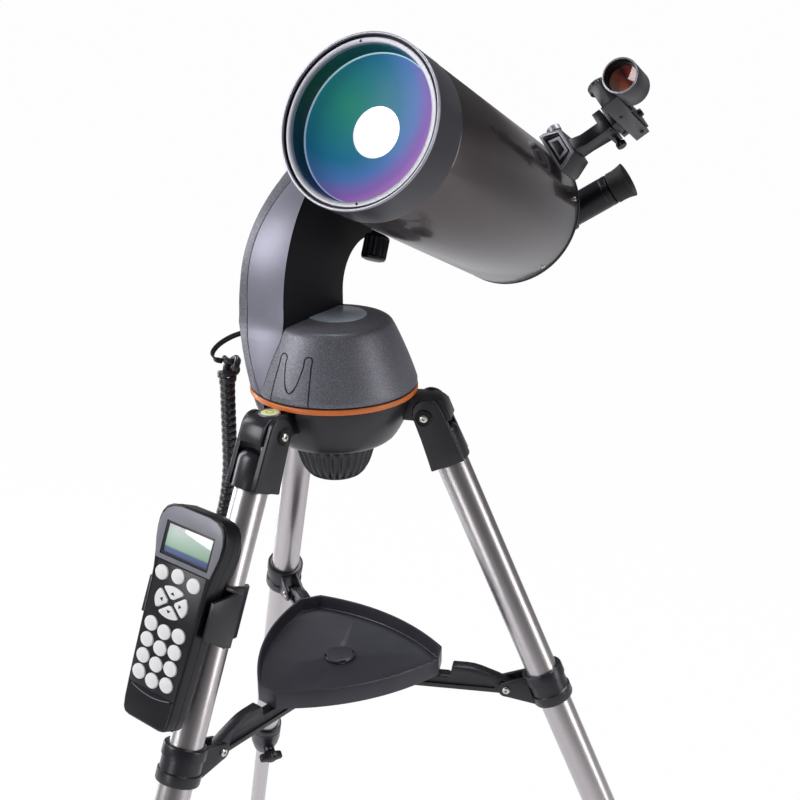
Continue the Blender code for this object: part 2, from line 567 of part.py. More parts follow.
# ---- hub, tray and its screw ----------------------------------------------------------
def tray_outline(inset=0.0):
    """Three bowed sides between corners that are cut square to the legs."""
    corner, half = TRAY_CORNER_R - inset, TRAY_CORNER_HALF - inset * 0.6
    points = []
    for angle in LEG_ANGLES:
        start = Vector((corner, half))
        end = Matrix.Rotation(math.radians(120), 2) @ Vector((corner, -half))
        chord = (start + end) / 2
        bow = (TRAY_SIDE_R - inset) - chord.length
        for i in range(9):
            t = i / 8
            point = start.lerp(end, t) + chord.normalized() * bow * 4 * t * (1 - t)
            points.append(tuple(Matrix.Rotation(angle, 2) @ point))
    return points


def tray_and_hub():
    tray = prism("tray", tray_outline(), TRAY_SKIRT, TRAY_TOP, BLACK, mount)
    inside = prism("tray_inside", tray_outline(2.4), TRAY_FLOOR, TRAY_TOP + 5, BLACK, mount)
    under = prism("tray_under", tray_outline(2.4), TRAY_SKIRT - 5, TRAY_UNDER, BLACK, mount)
    hole = rod("tray_hole", 5.5, -320, -290, BLACK, mount, SMALL)
    combine(tray, "DIFFERENCE", inside, under, hole)
    hub = turned("brace_hub", [(5.5, -303.8), (14, -303.8), (14, -308), (46, -309.5), (48, -311),
                               (48, -322), (46, -324), (5.5, -324)], BLACK, mount, ROUND)
    for angle in LEG_ANGLES:
        plane = frame("slot_frame", (0, 0, 0), mount, turn_z(angle))
        slot = block("hub_slot", (17, -6.6, -340), (60, 6.6, -300), BLACK, plane)
        combine(hub, "DIFFERENCE", slot)
    cap = [(0, -298), (15, -298), (16, -299), (16, -300.7), (5.1, -300.7), (5.1, -320), (0, -320)]
    turned("tray_knob", cap, BLACK, mount, MEDIUM)


# ---- hand control, its holder and cord ---------------------------------------------------
def control_outline(inset=0.0):
    """Face of the hand control in (y, z): wide round top, narrow foot."""
    top, end = CONTROL_TOP - inset, CONTROL_END + inset
    half = [(29.0, end + 5), (30.0, end + 14), (35.5, top - 72), (41.0, top - 34), (42.0, top - 16),
            (36.0, top - 5), (20.0, top - 0.8)]
    right = [(y - inset, z) for y, z in half]
    return [(-22 + inset, end), (22 - inset, end)] + right + [(-y, z) for y, z in reversed(right)]


KEY_ROWS = 4
ARROWS_Z = -163.5


def key_places():
    """Centres and radii of the keys: three on top, four arrows, then a block of twelve."""
    keys = [(y, -141.5 - 0.01 * y * y, 6.2) for y in (-20.5, 0.0, 20.5)]
    keys += [(y, ARROWS_Z + dz, 6.2) for y, dz in ((-9.6, 0), (9.6, 0), (0, -8.6), (0, 8.6))]
    for row in range(KEY_ROWS):
        for y in (-18.2, 0.0, 18.2):
            keys.append((y, -187.1 - 14.2 * row - 0.008 * y * y, 6.0))
    return keys


def hand_control():
    parent = legs[0]
    back, face = CONTROL_BACK + LEG_OFFSET, CONTROL_FACE + LEG_OFFSET
    case = prism("hand_control", control_outline(), back + 11, face, BLACK, parent, "X")
    break_edges(case, 3.0, 2)
    combine(case, "UNION", prism("control_back", control_outline(9.0), back, back + 16, BLACK, parent, "X"))
    tray_room = prism("key_room", [(-28, -132), (-25.5, -240), (25.5, -240), (28, -132)],
                      face - 4.5, face + 5, BLACK, parent, "X")
    window = block("screen_room", (face - 2.2, -29, -121), (face + 5, 29, -94), BLACK, parent)
    combine(case, "DIFFERENCE", tray_room, window)
    mat = prism("keypad", [(-27.6, -132.4), (-25.1, -239.6), (25.1, -239.6), (27.6, -132.4)],
                face - 3.1, face - 1.6, KEYS, parent, "X")
    for y, z, radius in key_places():
        key = rod("key", radius, face - 2.4, face + 1.4, KEYS, parent, 8, "X", (0, y, z))
        combine(mat, "UNION", key)
    holder(parent)


def holder(parent):
    """Cradle with two side lips, clipped round the leg."""
    low, high = -190.0, -141.0
    back = CONTROL_BACK + LEG_OFFSET
    clip = sleeve("control_holder", 20.5, LEG_R + GAP, low, high, BLACK, parent, ROUND,
                  centre=(LEG_OFFSET, 0, 0))
    plate = block("holder_plate", (back - 10, -41, low), (back - 0.5, 41, high), BLACK, parent)
    walls = []
    for side in (-1, 1):
        near, far = sorted((side * 38.6, side * 42.0))
        walls.append(block("holder_wall", (back - 8, near, low), (back + 26, far, high), BLACK, parent))
    mouth = block("clip_mouth", (-40, -9, low - 5), (-6, 9, high + 5), BLACK, parent)
    bore = rod("clip_bore", LEG_R + GAP, low - 5, high + 5, BLACK, parent, ROUND,
               centre=(LEG_OFFSET, 0, 0))
    combine(clip, "UNION", plate, *walls)
    combine(clip, "DIFFERENCE", mouth, bore)


LEAD_ROUTE = [(-77.2, -18, 46), (-84, -24, 46), (-93, -36, 43), (-100, -48, 37), (-102.5, -55.5, 30),
              (-99, -56, 24.5), (-95, -50, 21.5)]
COIL_ROUTE = [(-93, -46, 17.5), (-92.5, -47.5, 5), (-92, -49, -20), (-91, -51, -55), (-90, -54, -90),
              (-90, -64, -125), (-93, -82, -160), (-97, -106, -190), (-95, -134, -215),
              (-86, -161, -232), (-74, -182, -239), (-65, -195, -240)]


def smooth_route(points, steps):
    """Points on a smooth curve through a route, by Catmull-Rom."""
    ends = [points[0]] + points + [points[-1]]
    path = []
    for k in range(1, len(ends) - 2):
        a, b, c, d = (Vector(p) for p in ends[k - 1:k + 3])
        for i in range(steps):
            t = i / steps
            path.append(0.5 * (2 * b + (c - a) * t + (2 * a - 5 * b + 4 * c - d) * t * t
                               + (3 * b - a - 3 * c + d) * t ** 3))
    return path + [Vector(points[-1])]


def cord(name, route, diameter, steps, resolution):
    curve = bpy.data.curves.new(name, "CURVE")
    curve.dimensions = "3D"
    curve.bevel_depth = diameter / 2 * MM
    curve.bevel_resolution = resolution
    curve.use_fill_caps = True
    path = smooth_route(route, steps)
    spline = curve.splines.new("POLY")
    spline.points.add(len(path) - 1)
    for point, place in zip(spline.points, path):
        point.co = (*(place * MM), 1.0)
    curve.materials.append(BLACK)
    piece = bpy.data.objects.new(name, curve)
    piece.parent = mount
    bpy.context.scene.collection.objects.link(piece)


optical_tube()
eyepiece_end()
red_dot_finder()
altitude_drive()
arm()
dome()
tripod_head()
for number, parent in enumerate(legs, 1):
    leg(number, parent)
    brace(number, LEG_ANGLES[number - 1])
tray_and_hub()
hand_control()
cord("cord_lead", LEAD_ROUTE, CORD_D, 3, 2)
cord("cord_coil", COIL_ROUTE, COIL_D, 2, 3)
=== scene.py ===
"""Looks of the Maksutov telescope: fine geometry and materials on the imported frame."""
import json
import math

import bmesh
import bpy
from mathutils import Matrix, Vector


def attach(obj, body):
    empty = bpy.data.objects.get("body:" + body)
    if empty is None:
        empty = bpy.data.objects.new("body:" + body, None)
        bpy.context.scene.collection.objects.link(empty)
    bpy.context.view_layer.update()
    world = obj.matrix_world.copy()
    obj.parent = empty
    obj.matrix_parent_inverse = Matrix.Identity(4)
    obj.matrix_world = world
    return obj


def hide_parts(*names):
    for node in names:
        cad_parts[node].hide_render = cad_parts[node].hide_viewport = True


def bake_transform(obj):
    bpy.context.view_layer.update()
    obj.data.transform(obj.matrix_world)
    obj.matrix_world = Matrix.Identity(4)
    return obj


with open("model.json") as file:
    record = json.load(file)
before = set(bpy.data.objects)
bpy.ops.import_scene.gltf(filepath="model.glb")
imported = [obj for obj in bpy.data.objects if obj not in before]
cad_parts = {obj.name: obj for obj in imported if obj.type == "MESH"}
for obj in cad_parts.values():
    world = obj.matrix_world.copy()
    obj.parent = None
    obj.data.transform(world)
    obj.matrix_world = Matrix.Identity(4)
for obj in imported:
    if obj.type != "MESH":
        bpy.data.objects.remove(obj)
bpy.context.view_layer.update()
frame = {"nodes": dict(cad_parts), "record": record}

# Lengths are millimetres in the mount's own frame: z = 0 is the middle of the accent ring.
MM = 0.001
AXIS_X, AXIS_Y, RING_Z = -33.26, 84.85, 880.0              # that frame's origin in the row frame
ELEVATION = math.radians(23.1)                             # tube at rest
TUBE_OFFSET_X, PIVOT_Y, PIVOT_Z = 90.8, 90.0, 185.6        # where the altitude axis meets the tube
DIAGONAL_Z, DIAGONAL_TURN, FINDER_TURN = -184.4, math.radians(54), math.radians(47)
LENS_CURVE = 175.0                                         # radius of the corrector's hollow face
LEG_SPLAY, LEG_TURN = math.radians(23.17), math.radians(-8.24)
HINGE_R, HINGE_Z, LEG_OFFSET, LEG_R = 89.8, -22.0, 3.5, 15.875
LEVEL_R, GEAR_ROOM_R, GEAR_ROOM_TOP = 87.5, 46.6, 8.4
COLLAR_TOP, COLLAR_END, CLAMP_TOP, CLAMP_END = -634.0, -692.0, -296.0, -332.0
BRACE_OUT_R, BRACE_OUT_Z, BRACE_IN_R, BRACE_IN_Z = 175.4, -316.8, 40.0, -316.0
LEG_ANGLES = [LEG_TURN + math.radians(270 + 120 * i) for i in range(3)]
LEG_AXIS, HOOD_AXIS = (LEG_OFFSET, 0, 0), (0, 169, 0)
CAMERA_AT, CAMERA_DOWN, CAMERA_TURN = (620.7, -905.7, 380.8), 19.9, 31.13


def shift(x, y, z):
    return Matrix.Translation(Vector((x, y, z)) * MM)


def spin(angle, axis="Z"):
    return Matrix.Rotation(angle, 4, axis)


MOUNT = shift(AXIS_X, AXIS_Y, RING_Z)
TUBE = MOUNT @ shift(TUBE_OFFSET_X, PIVOT_Y, PIVOT_Z) @ spin(math.pi / 2 - ELEVATION, "X")
DIAGONAL = TUBE @ shift(0, 0, DIAGONAL_Z) @ spin(-DIAGONAL_TURN)
FINDER = TUBE @ spin(-FINDER_TURN)
PLANES = [MOUNT @ spin(a) for a in LEG_ANGLES]
LEGS = [MOUNT @ shift(HINGE_R * math.cos(a), HINGE_R * math.sin(a), HINGE_Z) @ spin(a)
        @ spin(-LEG_SPLAY, "Y") for a in LEG_ANGLES]


def world_point(p):
    return MOUNT @ (Vector(p) * MM)


# ---- camera ---------------------------------------------------------------------------
camera = bpy.data.objects.new("camera", bpy.data.cameras.new("camera"))
bpy.context.scene.collection.objects.link(camera)
camera.data.sensor_width = 36.0
camera.data.lens = 54.29
camera.data.clip_end = 50.0
camera.location = world_point(CAMERA_AT)
camera.rotation_euler = (math.radians(90 - CAMERA_DOWN), 0.0, math.radians(CAMERA_TURN))
bpy.context.scene.camera = camera


def nodes_of(name):
    mat = bpy.data.materials.new(name)
    mat.use_nodes = True
    return mat, mat.node_tree, mat.node_tree.nodes["Principled BSDF"]


def put_in(node, **inputs):
    for key, value in inputs.items():
        node.inputs[key.replace("_", " ")].default_value = value


def add(tree, kind, **inputs):
    node = tree.nodes.new("ShaderNode" + kind)
    put_in(node, **inputs)
    return node


def link(source, *targets):
    for target in targets:
        target.id_data.links.new(source, target)


def ramp(tree, stops, source):
    node = add(tree, "ValToRGB")
    while len(node.color_ramp.elements) < len(stops):
        node.color_ramp.elements.new(0.5)
    for element, (place, colour) in zip(node.color_ramp.elements, stops):
        element.position = place
        element.color = (*colour, 1.0)
    link(source, node.inputs["Fac"])
    return node.outputs["Color"]


def gradient(tree, source, axis, low, high, stops):
    """Colours along one axis of a coordinate."""
    split = add(tree, "SeparateXYZ")
    link(add(tree, "TexCoord").outputs[source], split.inputs["Vector"])
    scale = add(tree, "MapRange", From_Min=low, From_Max=high)
    link(split.outputs[axis], scale.inputs["Value"])
    return ramp(tree, stops, scale.outputs["Result"])


def finish_of(name, slot, colour, rough, metal=0.0, grain=600.0, bump=0.02, mottle=0.12, coat=0.0,
              specular=0.5, rough_spread=0.08, coat_rough=0.1, stretch=(1, 1, 1), sparkle=0.0):
    """A finish whose colour, roughness and relief vary with noise at two scales."""
    mat, tree, shader = nodes_of(name)
    mapping = add(tree, "Mapping", Scale=stretch)
    link(add(tree, "TexCoord").outputs["Object"], mapping.inputs["Vector"])

    def noise(scale, detail, roughness):
        node = add(tree, "TexNoise", Scale=scale, Detail=detail, Roughness=roughness)
        link(mapping.outputs["Vector"], node.inputs["Vector"])
        return node.outputs["Fac"]

    fine_noise, broad_noise = noise(grain, 3.0, 0.6), noise(28.0, 4.0, 0.55)
    dark = tuple(c * (1 - mottle) for c in colour)
    light = tuple(min(1.0, c * (1 + mottle)) for c in colour)
    tint = ramp(tree, [(0.3, dark), (0.7, light)], broad_noise)
    if sparkle:
        flecks = ramp(tree, [(0.50, (0, 0, 0)), (0.72, (sparkle,) * 3)], noise(1500.0, 1.0, 0.5))
        both = add(tree, "Mix")
        both.data_type, both.blend_type = "RGBA", "ADD"
        put_in(both, Factor=1.0)
        link(tint, both.inputs[6])
        link(flecks, both.inputs[7])
        tint = both.outputs[2]
    link(tint, shader.inputs["Base Color"])
    spread = add(tree, "MapRange", To_Min=max(0.02, rough - rough_spread), To_Max=rough + rough_spread)
    relief = add(tree, "Bump", Strength=bump * 10, Distance=0.0002)
    link(fine_noise, spread.inputs["Value"], relief.inputs["Height"])
    link(spread.outputs["Result"], shader.inputs["Roughness"])
    link(relief.outputs["Normal"], shader.inputs["Normal"])
    put_in(shader, Metallic=metal, Coat_Weight=coat, Coat_Roughness=coat_rough,
           Specular_IOR_Level=specular)
    return mat


def plastic(name, colour, rough, *more, **named):
    return finish_of(name, "black_plastic", colour, rough, *more, **named)


def casing(name, colour, rough, *more, **named):
    return finish_of(name, "grey_casing", colour, rough, *more, **named)


# name, slot, colour, roughness, metal, grain, relief, mottle
TUBE_PAINT = finish_of("tube_paint", "tube_paint", (0.090, 0.076, 0.080), 0.22, 0.75, 1800, 0.006, 0.05,
                       coat=0.6, coat_rough=0.06)
SATIN = finish_of("satin_charcoal", "satin_charcoal", (0.040, 0.040, 0.050), 0.36, 0.35, 1200, 0.01,
                  0.08)
ARM_GREY = casing("arm_grey", (0.25, 0.25, 0.31), 0.42, 0.5, 1500, 0.012, 0.06)
# Near-black copy of arm_grey for the arm's inner face: painted shade where the tube keeps the light off.
ARM_INNER_SHADE = casing("arm_inner", (0.007, 0.007, 0.010), 0.55, 0.0, 1500, 0.012, 0.06, specular=0.18)
DOME_GREY = casing("dome_grey", (0.150, 0.150, 0.185), 0.42, 0.35, 1300, 0.06, 0.08, sparkle=0.22)
# Darker copy of dome_grey for the flat top: a painted reflection of the dark surroundings.
DOME_TOP_DARK_REFLECTION = casing("dome_top_painted_reflection", (0.050, 0.050, 0.066), 0.46, 0.2, 1300, 0.05, 0.08)
BLACK = plastic("black_plastic", (0.008, 0.008, 0.012), 0.31, 0.0, 1100, 0.025, 0.15, specular=0.38)
HEAD_GREY = plastic("head_plastic", (0.016, 0.016, 0.023), 0.31, 0.10, 900, 0.03, 0.12, specular=0.6)
TRAY_BLACK = plastic("tray_slate", (0.035, 0.035, 0.048), 0.38, 0.1, 900, 0.02, 0.12, specular=0.6)
CONTROL_TOP_GREY = plastic("control_top", (0.23, 0.23, 0.27), 0.42, 0.2, 900, 0.02, 0.08)
CORD_BLACK = plastic("cord_black", (0.022, 0.020, 0.028), 0.30, 0.0, 900, 0.01, 0.15, specular=0.7)
# Near-black for real black parts and marks, and also painted shade in grooves, holes and seam gaps.
DEEP_BLACK_AND_SHADE = plastic("deep_black_and_painted_shade", (0.006, 0.006, 0.007), 0.6, 0.0, 700, 0.03, 0.2)
RUBBER = finish_of("rubber", "rubber", (0.018, 0.018, 0.018), 0.7, 0.0, 700, 0.05, 0.2)
STEEL = finish_of("leg_steel", "bright_steel", (0.60, 0.57, 0.58), 0.33, 1.0, 1.0, 0.012, 0.06,
                  stretch=(900, 900, 6))                   # streaks along the leg
SILVER = finish_of("silver_ring", "bright_steel", (0.38, 0.38, 0.43), 0.42, 0.6, 900, 0.006, 0.05)
SCREW = finish_of("screw_steel", "bright_steel", (0.72, 0.70, 0.66), 0.18, 1.0, 900, 0.01, 0.08)
BRASS = finish_of("brass", "brass", (0.70, 0.50, 0.22), 0.3, 1.0, 700, 0.02, 0.1)
ORANGE = finish_of("orange_trim", "orange_trim", (0.86, 0.22, 0.05), 0.38, 0.0, 800, 0.012, 0.06)
MIRROR = finish_of("mirror", "mirror", (0.9, 0.9, 0.92), 0.04, 1.0, 300, 0.001, 0.02, rough_spread=0.01)
KEY_WHITE = finish_of("key_white", "keys", (0.92, 0.92, 0.92), 0.42, 0.0, 900, 0.02, 0.05)
BADGE = finish_of("badge_foil", None, (0.62, 0.70, 0.82), 0.30, 0.05, 300, 0.004, 0.22, coat=0.5)


def coating():
    """Anti-reflection coating in painted reflection colours with a painted glow: green near the middle,
    then blue, violet and pink outwards.
    """
    mat, tree, shader = nodes_of("lens_coating_painted_reflection")
    flat = add(tree, "Mapping", Scale=(1, 1, 0))
    link(add(tree, "TexCoord").outputs["Object"], flat.inputs["Vector"])
    far = add(tree, "VectorMath")
    far.operation = "DISTANCE"
    far.inputs[1].default_value = (-0.030, 0.020, 0)
    link(flat.outputs["Vector"], far.inputs[0])
    scale = add(tree, "MapRange", From_Max=0.096)
    link(far.outputs["Value"], scale.inputs["Value"])
    tint = ramp(tree, [(0.0, (0.020, 0.215, 0.150)), (0.28, (0.014, 0.165, 0.200)),
                       (0.48, (0.012, 0.140, 0.250)), (0.66, (0.060, 0.150, 0.390)),
                       (0.82, (0.210, 0.110, 0.380)), (1.0, (0.430, 0.190, 0.460))],
                scale.outputs["Result"])
    # These colours stand in for the coating's reflections and also feed the emission: painted reflection
    # and painted glow.
    link(tint, shader.inputs["Base Color"], shader.inputs["Emission Color"])
    put_in(shader, Emission_Strength=0.45, Roughness=0.3, Specular_IOR_Level=0.15)
    return mat


def edge_tint():
    """Ground edge of the corrector seen through its glass: dark blue to dark green."""
    mat, tree, shader = nodes_of("lens_edge")
    tint = gradient(tree, "Object", "Y", -0.06, 0.06,
                    [(0.0, (0.012, 0.018, 0.080)), (0.45, (0.010, 0.060, 0.090)),
                     (0.75, (0.006, 0.085, 0.055)), (1.0, (0.010, 0.090, 0.090))])
    link(tint, shader.inputs["Base Color"])
    put_in(shader, Roughness=0.2)
    return mat


def eye_glass(tint):
    mat, tree, shader = nodes_of("eye_glass")
    noise = add(tree, "TexNoise", Scale=60.0, Detail=2.0)
    link(ramp(tree, [(0.3, tuple(c * 0.92 for c in tint)), (0.7, tint)], noise.outputs["Fac"]),
         shader.inputs["Base Color"])
    put_in(shader, Roughness=0.03, Coat_Weight=1.0)
    return mat


def ramp_glass(name, stops, axis="Y", low=-0.01, high=0.01, glow=0.0):
    """Glossy piece with a colour gradient along one of its own axes; glow adds a painted glow in the same
    colours.
    """
    mat, tree, shader = nodes_of(name)
    tint = gradient(tree, "Object", axis, low, high, stops)
    link(tint, shader.inputs["Base Color"])
    if glow:
        link(tint, shader.inputs["Emission Color"])
        put_in(shader, Emission_Strength=glow)
    put_in(shader, Roughness=0.08, Coat_Weight=0.8, Coat_Roughness=0.03)
    return mat


COATING_PAINTED_REFLECTION, EDGE = coating(), edge_tint()
# White with a glow: a painted reflection of the lights on the aluminised spot.
SPOT_REFLECTION = ramp_glass("aluminised_spot_painted_reflection", [(0.0, (0.92, 0.93, 0.95)), (1.0, (0.98, 0.98, 1.0))],
                  glow=0.55)
LIP_LIGHT = ramp_glass("inner_glint", [(0.0, (0.45, 0.60, 0.85)), (1.0, (0.55, 0.85, 0.90))],
                       low=-0.06, high=0.06, glow=0.3)
RED_LENS = ramp_glass("red_lens", [(0.0, (0.95, 0.55, 0.42)), (0.35, (0.85, 0.16, 0.06)),
                                   (0.6, (0.10, 0.01, 0.01)), (0.8, (0.55, 0.04, 0.03)),
                                   (1.0, (0.20, 0.01, 0.01))], low=0.155, high=0.182)
SCREEN = ramp_glass("screen", [(0.0, (0.10, 0.13, 0.30)), (0.20, (0.14, 0.20, 0.38)),
                               (0.26, (0.42, 0.62, 0.46)), (0.6, (0.62, 0.80, 0.70)),
                               (1.0, (0.90, 0.95, 0.94))], axis="Z", low=-0.1232, high=-0.0966)
# Green liquid of the level, lighter towards one end, with a painted glow.
VIAL_GLOWING = ramp_glass("vial_liquid_painted_glow", [(0.0, (0.45, 0.72, 0.10)), (0.6, (0.72, 0.88, 0.30)),
                                  (1.0, (0.80, 0.92, 0.45))], axis="X", low=-0.05, high=-0.03, glow=0.25)
LENS_GLASS = eye_glass((0.05, 0.09, 0.12))


# ---- shapes ------------------------------------------------------------------------------
BODY_OF = {node: body for body, group in frame["record"]["behaviour"]["bodies"].items()
           for node in group}


def raw(name, points, faces, place):
    mesh = bpy.data.meshes.new(name)
    mesh.from_pydata([Vector(p) * MM for p in points], [], faces)
    work = bmesh.new()
    work.from_mesh(mesh)
    bmesh.ops.recalc_face_normals(work, faces=work.faces)
    work.to_mesh(mesh)
    work.free()
    piece = bpy.data.objects.new(name, mesh)
    bpy.context.scene.collection.objects.link(piece)
    piece.matrix_world = place
    return piece


def turned(name, profile, place, sides=128, axis="Z", centre=(0, 0, 0), flute=None):
    """Turn (radius, height) points about an axis; flute(angle, radius, height) reshapes it."""
    points, rings = [], []
    for radius, height in profile:
        if radius == 0:
            rings.append([len(points)])
            points.append((0, 0, height))
        else:
            rings.append(list(range(len(points), len(points) + sides)))
            for i in range(sides):
                a = 2 * math.pi * i / sides
                r = flute(a, radius, height) if flute else radius
                points.append((r * math.cos(a), r * math.sin(a), height))
    faces = []
    pairs = list(zip(rings, rings[1:]))
    if profile[0][0] != 0:
        pairs.append((rings[-1], rings[0]))
    for low, high in pairs:
        for i in range(sides):
            j = (i + 1) % sides
            if len(low) == 1 and len(high) > 1:
                faces.append((low[0], high[i], high[j]))
            elif len(high) == 1 and len(low) > 1:
                faces.append((low[i], low[j], high[0]))
            elif len(low) > 1:
                faces.append((low[i], low[j], high[j], high[i]))
    swap = {"Z": lambda p: p, "X": lambda p: (p[2], p[0], p[1]), "Y": lambda p: (p[1], p[2], p[0])}
    points = [tuple(a + b for a, b in zip(swap[axis](p), centre)) for p in points]
    return raw(name, points, faces, place)


def rod(name, radius, low, high, place, sides=64, axis="Z", centre=(0, 0, 0), edge=0.0):
    profile = [(0, low), (radius, low), (radius, high), (0, high)]
    if edge:
        near, far = radius - edge, radius - edge * 0.3
        profile = [(0, low), (near, low), (far, low + edge * 0.3), (radius, low + edge),
                   (radius, high - edge), (far, high - edge * 0.3), (near, high), (0, high)]
    return turned(name, profile, place, sides, axis, centre)


def prism(name, outline, low, high, place, axis="Z"):
    """Extrude an outline. Its two coordinates run round the axis: XY, YZ or ZX."""
    count = len(outline)
    put = {"Z": lambda a, b, h: (a, b, h), "X": lambda a, b, h: (h, a, b),
           "Y": lambda a, b, h: (b, h, a)}[axis]
    points = [put(a, b, low) for a, b in outline] + [put(a, b, high) for a, b in outline]
    faces = [tuple(range(count)), tuple(range(count, 2 * count))]
    faces += [(i, (i + 1) % count, count + (i + 1) % count, count + i) for i in range(count)]
    return raw(name, points, faces, place)


def block(name, low, high, place):
    outline = [(low[0], low[1]), (high[0], low[1]), (high[0], high[1]), (low[0], high[1])]
    return prism(name, outline, low[2], high[2], place)


def loft(name, levels, place):
    """Tapering block: each level gives its height, half width and the two ends in Z."""
    points, faces = [], []
    for height, half, low, high in levels:
        points += [(-half, height, low), (half, height, low), (half, height, high),
                   (-half, height, high)]
    for k in range(len(levels) - 1):
        for i in range(4):
            j = (i + 1) % 4
            faces.append((4 * k + i, 4 * k + j, 4 * k + 4 + j, 4 * k + 4 + i))
    faces += [(0, 1, 2, 3), tuple(len(points) - 4 + i for i in range(4))]
    return raw(name, points, faces, place)


def both_sides(half):
    """An outline that is the same on both sides, from the points of its right half."""
    return half + [(-a, b) for a, b in reversed(half)]


def arc(centre, radius, start, end, count):
    step = (end - start) / (count - 1)
    angles = [math.radians(start + step * i) for i in range(count)]
    return [(centre[0] + radius * math.cos(a), centre[1] + radius * math.sin(a)) for a in angles]


def turned_by(outline, degrees):
    turn = Matrix.Rotation(math.radians(degrees), 2)
    return [tuple(turn @ Vector(p)) for p in outline]


def settle(piece):
    """Applies the modifiers that a piece carries."""
    bpy.context.view_layer.update()
    graph = bpy.context.evaluated_depsgraph_get()
    mesh = bpy.data.meshes.new_from_object(piece.evaluated_get(graph))
    piece.modifiers.clear()
    piece.data = mesh
    return piece


def combine(operation, piece, others):
    for other in others:
        step = piece.modifiers.new(operation, "BOOLEAN")
        step.operation, step.solver, step.object = operation, "EXACT", other
    settle(piece)
    for other in others:
        bpy.data.objects.remove(other, do_unlink=True)
    return piece


def cut(piece, *others):
    return combine("DIFFERENCE", piece, others)


def join(piece, *others):
    return combine("UNION", piece, others)


def keep(piece, *others):
    return combine("INTERSECT", piece, others)


def soften(piece, width, segments=3, angle=32):
    bevel = piece.modifiers.new("edges", "BEVEL")
    bevel.width, bevel.segments = width * MM, segments
    bevel.limit_method, bevel.angle_limit = "ANGLE", math.radians(angle)
    bevel.use_clamp_overlap = True
    return settle(piece)


def done(piece, mat, body, stands_for=(), smooth=38):
    """Shade, paint and hang a finished piece on its body."""
    piece.data.materials.clear()
    piece.data.materials.append(mat)
    piece.data.shade_smooth()
    piece.data.set_sharp_from_angle(angle=math.radians(smooth))
    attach(piece, body)
    if stands_for:
        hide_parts(*stands_for)
    return piece


def fine(piece, mat, node, smooth=38):
    """A piece that stands for one CAD node."""
    return done(piece, mat, BODY_OF[node], [node], smooth)


def fluted(count, depth, low, high, power=1.0):
    """Grip ribs between two heights."""
    def shape(angle, radius, height):
        if low <= height <= high:
            return radius - depth * abs(math.sin(count * angle / 2)) ** power
        return radius
    return shape


def socket_screw(name, radius, height, place, body, axis="Z", centre=(0, 0, 0), towards=1, mat=SCREW):
    """Button-head screw with a hexagon socket."""
    head = [(0, 0), (radius, 0), (radius, height * 0.35), (radius * 0.9, height * 0.75),
            (radius * 0.7, height * 0.95), (radius * 0.45, height), (0, height)]
    head = turned(name, [(r, h * towards) for r, h in head], place, 40, axis, centre)
    low, high = height * 0.4 * towards, height * 1.4 * towards
    hexagon = [(0, low), (radius * 0.42, low), (radius * 0.42, high), (0, high)]
    cut(head, turned("hexagon", hexagon, place, 6, axis, centre))
    return done(head, mat, body, smooth=30)


# ---- cords ---------------------------------------------------------------------------------
LEAD_ROUTE = [(-77.2, -18, 46), (-84, -24, 46), (-93, -36, 43), (-100, -48, 37),
              (-102.5, -55.5, 30), (-99, -56, 24.5), (-95, -50, 21.5)]
COIL_ROUTE = [(-93, -46, 17.5), (-92.5, -47.5, 5), (-92, -49, -20), (-91, -51, -55),
              (-90, -54, -90), (-90, -64, -125), (-93, -82, -160), (-97, -106, -190),
              (-95, -134, -215), (-86, -161, -232), (-74, -182, -239), (-65, -195, -240)]


def smooth_route(points, steps):
    """Catmull-Rom curve through the points."""
    ends = [points[0]] + points + [points[-1]]
    path = []
    for k in range(1, len(ends) - 2):
        a, b, c, d = (Vector(p) for p in ends[k - 1:k + 3])
        for i in range(steps):
            t = i / steps
            path.append(0.5 * (2 * b + (c - a) * t + (2 * a - 5 * b + 4 * c - d) * t * t
                               + (3 * b - a - 3 * c + d) * t ** 3))
    return path + [Vector(points[-1])]


def even(path, gap):
    """The same path with points an even distance apart."""
    out, left = [path[0]], gap
    for a, b in zip(path, path[1:]):
        run = (b - a).length
        while run >= left:
            a = a + (b - a).normalized() * left
            out.append(a)
            run -= left
            left = gap
        left -= run
    return out


def ribbon(name, path, sides, width, thick):
    """Flat cord with round edges swept along a path; sides gives the flat's direction."""
    section = [(math.cos(a), math.sin(a)) for a in (2 * math.pi * k / 12 for k in range(12))]
    points, faces = [], []
    for i, (p, across) in enumerate(zip(path, sides)):
        ahead = (path[min(i + 1, len(path) - 1)] - path[max(i - 1, 0)]).normalized()
        across = (across - ahead * across.dot(ahead)).normalized()
        up = ahead.cross(across)
        for c, s in section:
            flat = math.copysign(abs(c) ** 0.7, c) * width / 2
            points.append(p + across * flat + up * s * thick / 2)
    for i in range(len(path) - 1):
        for k in range(12):
            j = (k + 1) % 12
            faces.append((12 * i + k, 12 * i + j, 12 * i + 12 + j, 12 * i + 12 + k))
    faces += [tuple(range(12)), tuple(12 * (len(path) - 1) + k for k in range(12))]
    return raw(name, points, faces, MOUNT)


TURN_STEPS = 16                                            # points in one turn of the coil


def helix(route, pitch, radius):
    """Turns round a route, each lying a pitch further on; the ends draw in to the route."""
    line = even(route, pitch / TURN_STEPS)
    total = len(line)
    path, sides = [], []
    side = Vector((1, 0, 0))
    for i, p in enumerate(line):
        ahead = (line[min(i + 1, total - 1)] - line[max(i - 1, 0)]).normalized()
        side = (side - ahead * side.dot(ahead)).normalized()
        edge = min(1.0, i / 20, (total - 1 - i) / 20)
        swell = 2.2 * math.exp(-((i - 22) / 14) ** 2)      # the first turns lie over the knot
        angle = 2 * math.pi * i / TURN_STEPS
        out = side * math.cos(angle) + ahead.cross(side) * math.sin(angle)
        path.append(p + out * (radius * edge + swell))
        sides.append(ahead)
    return path, sides


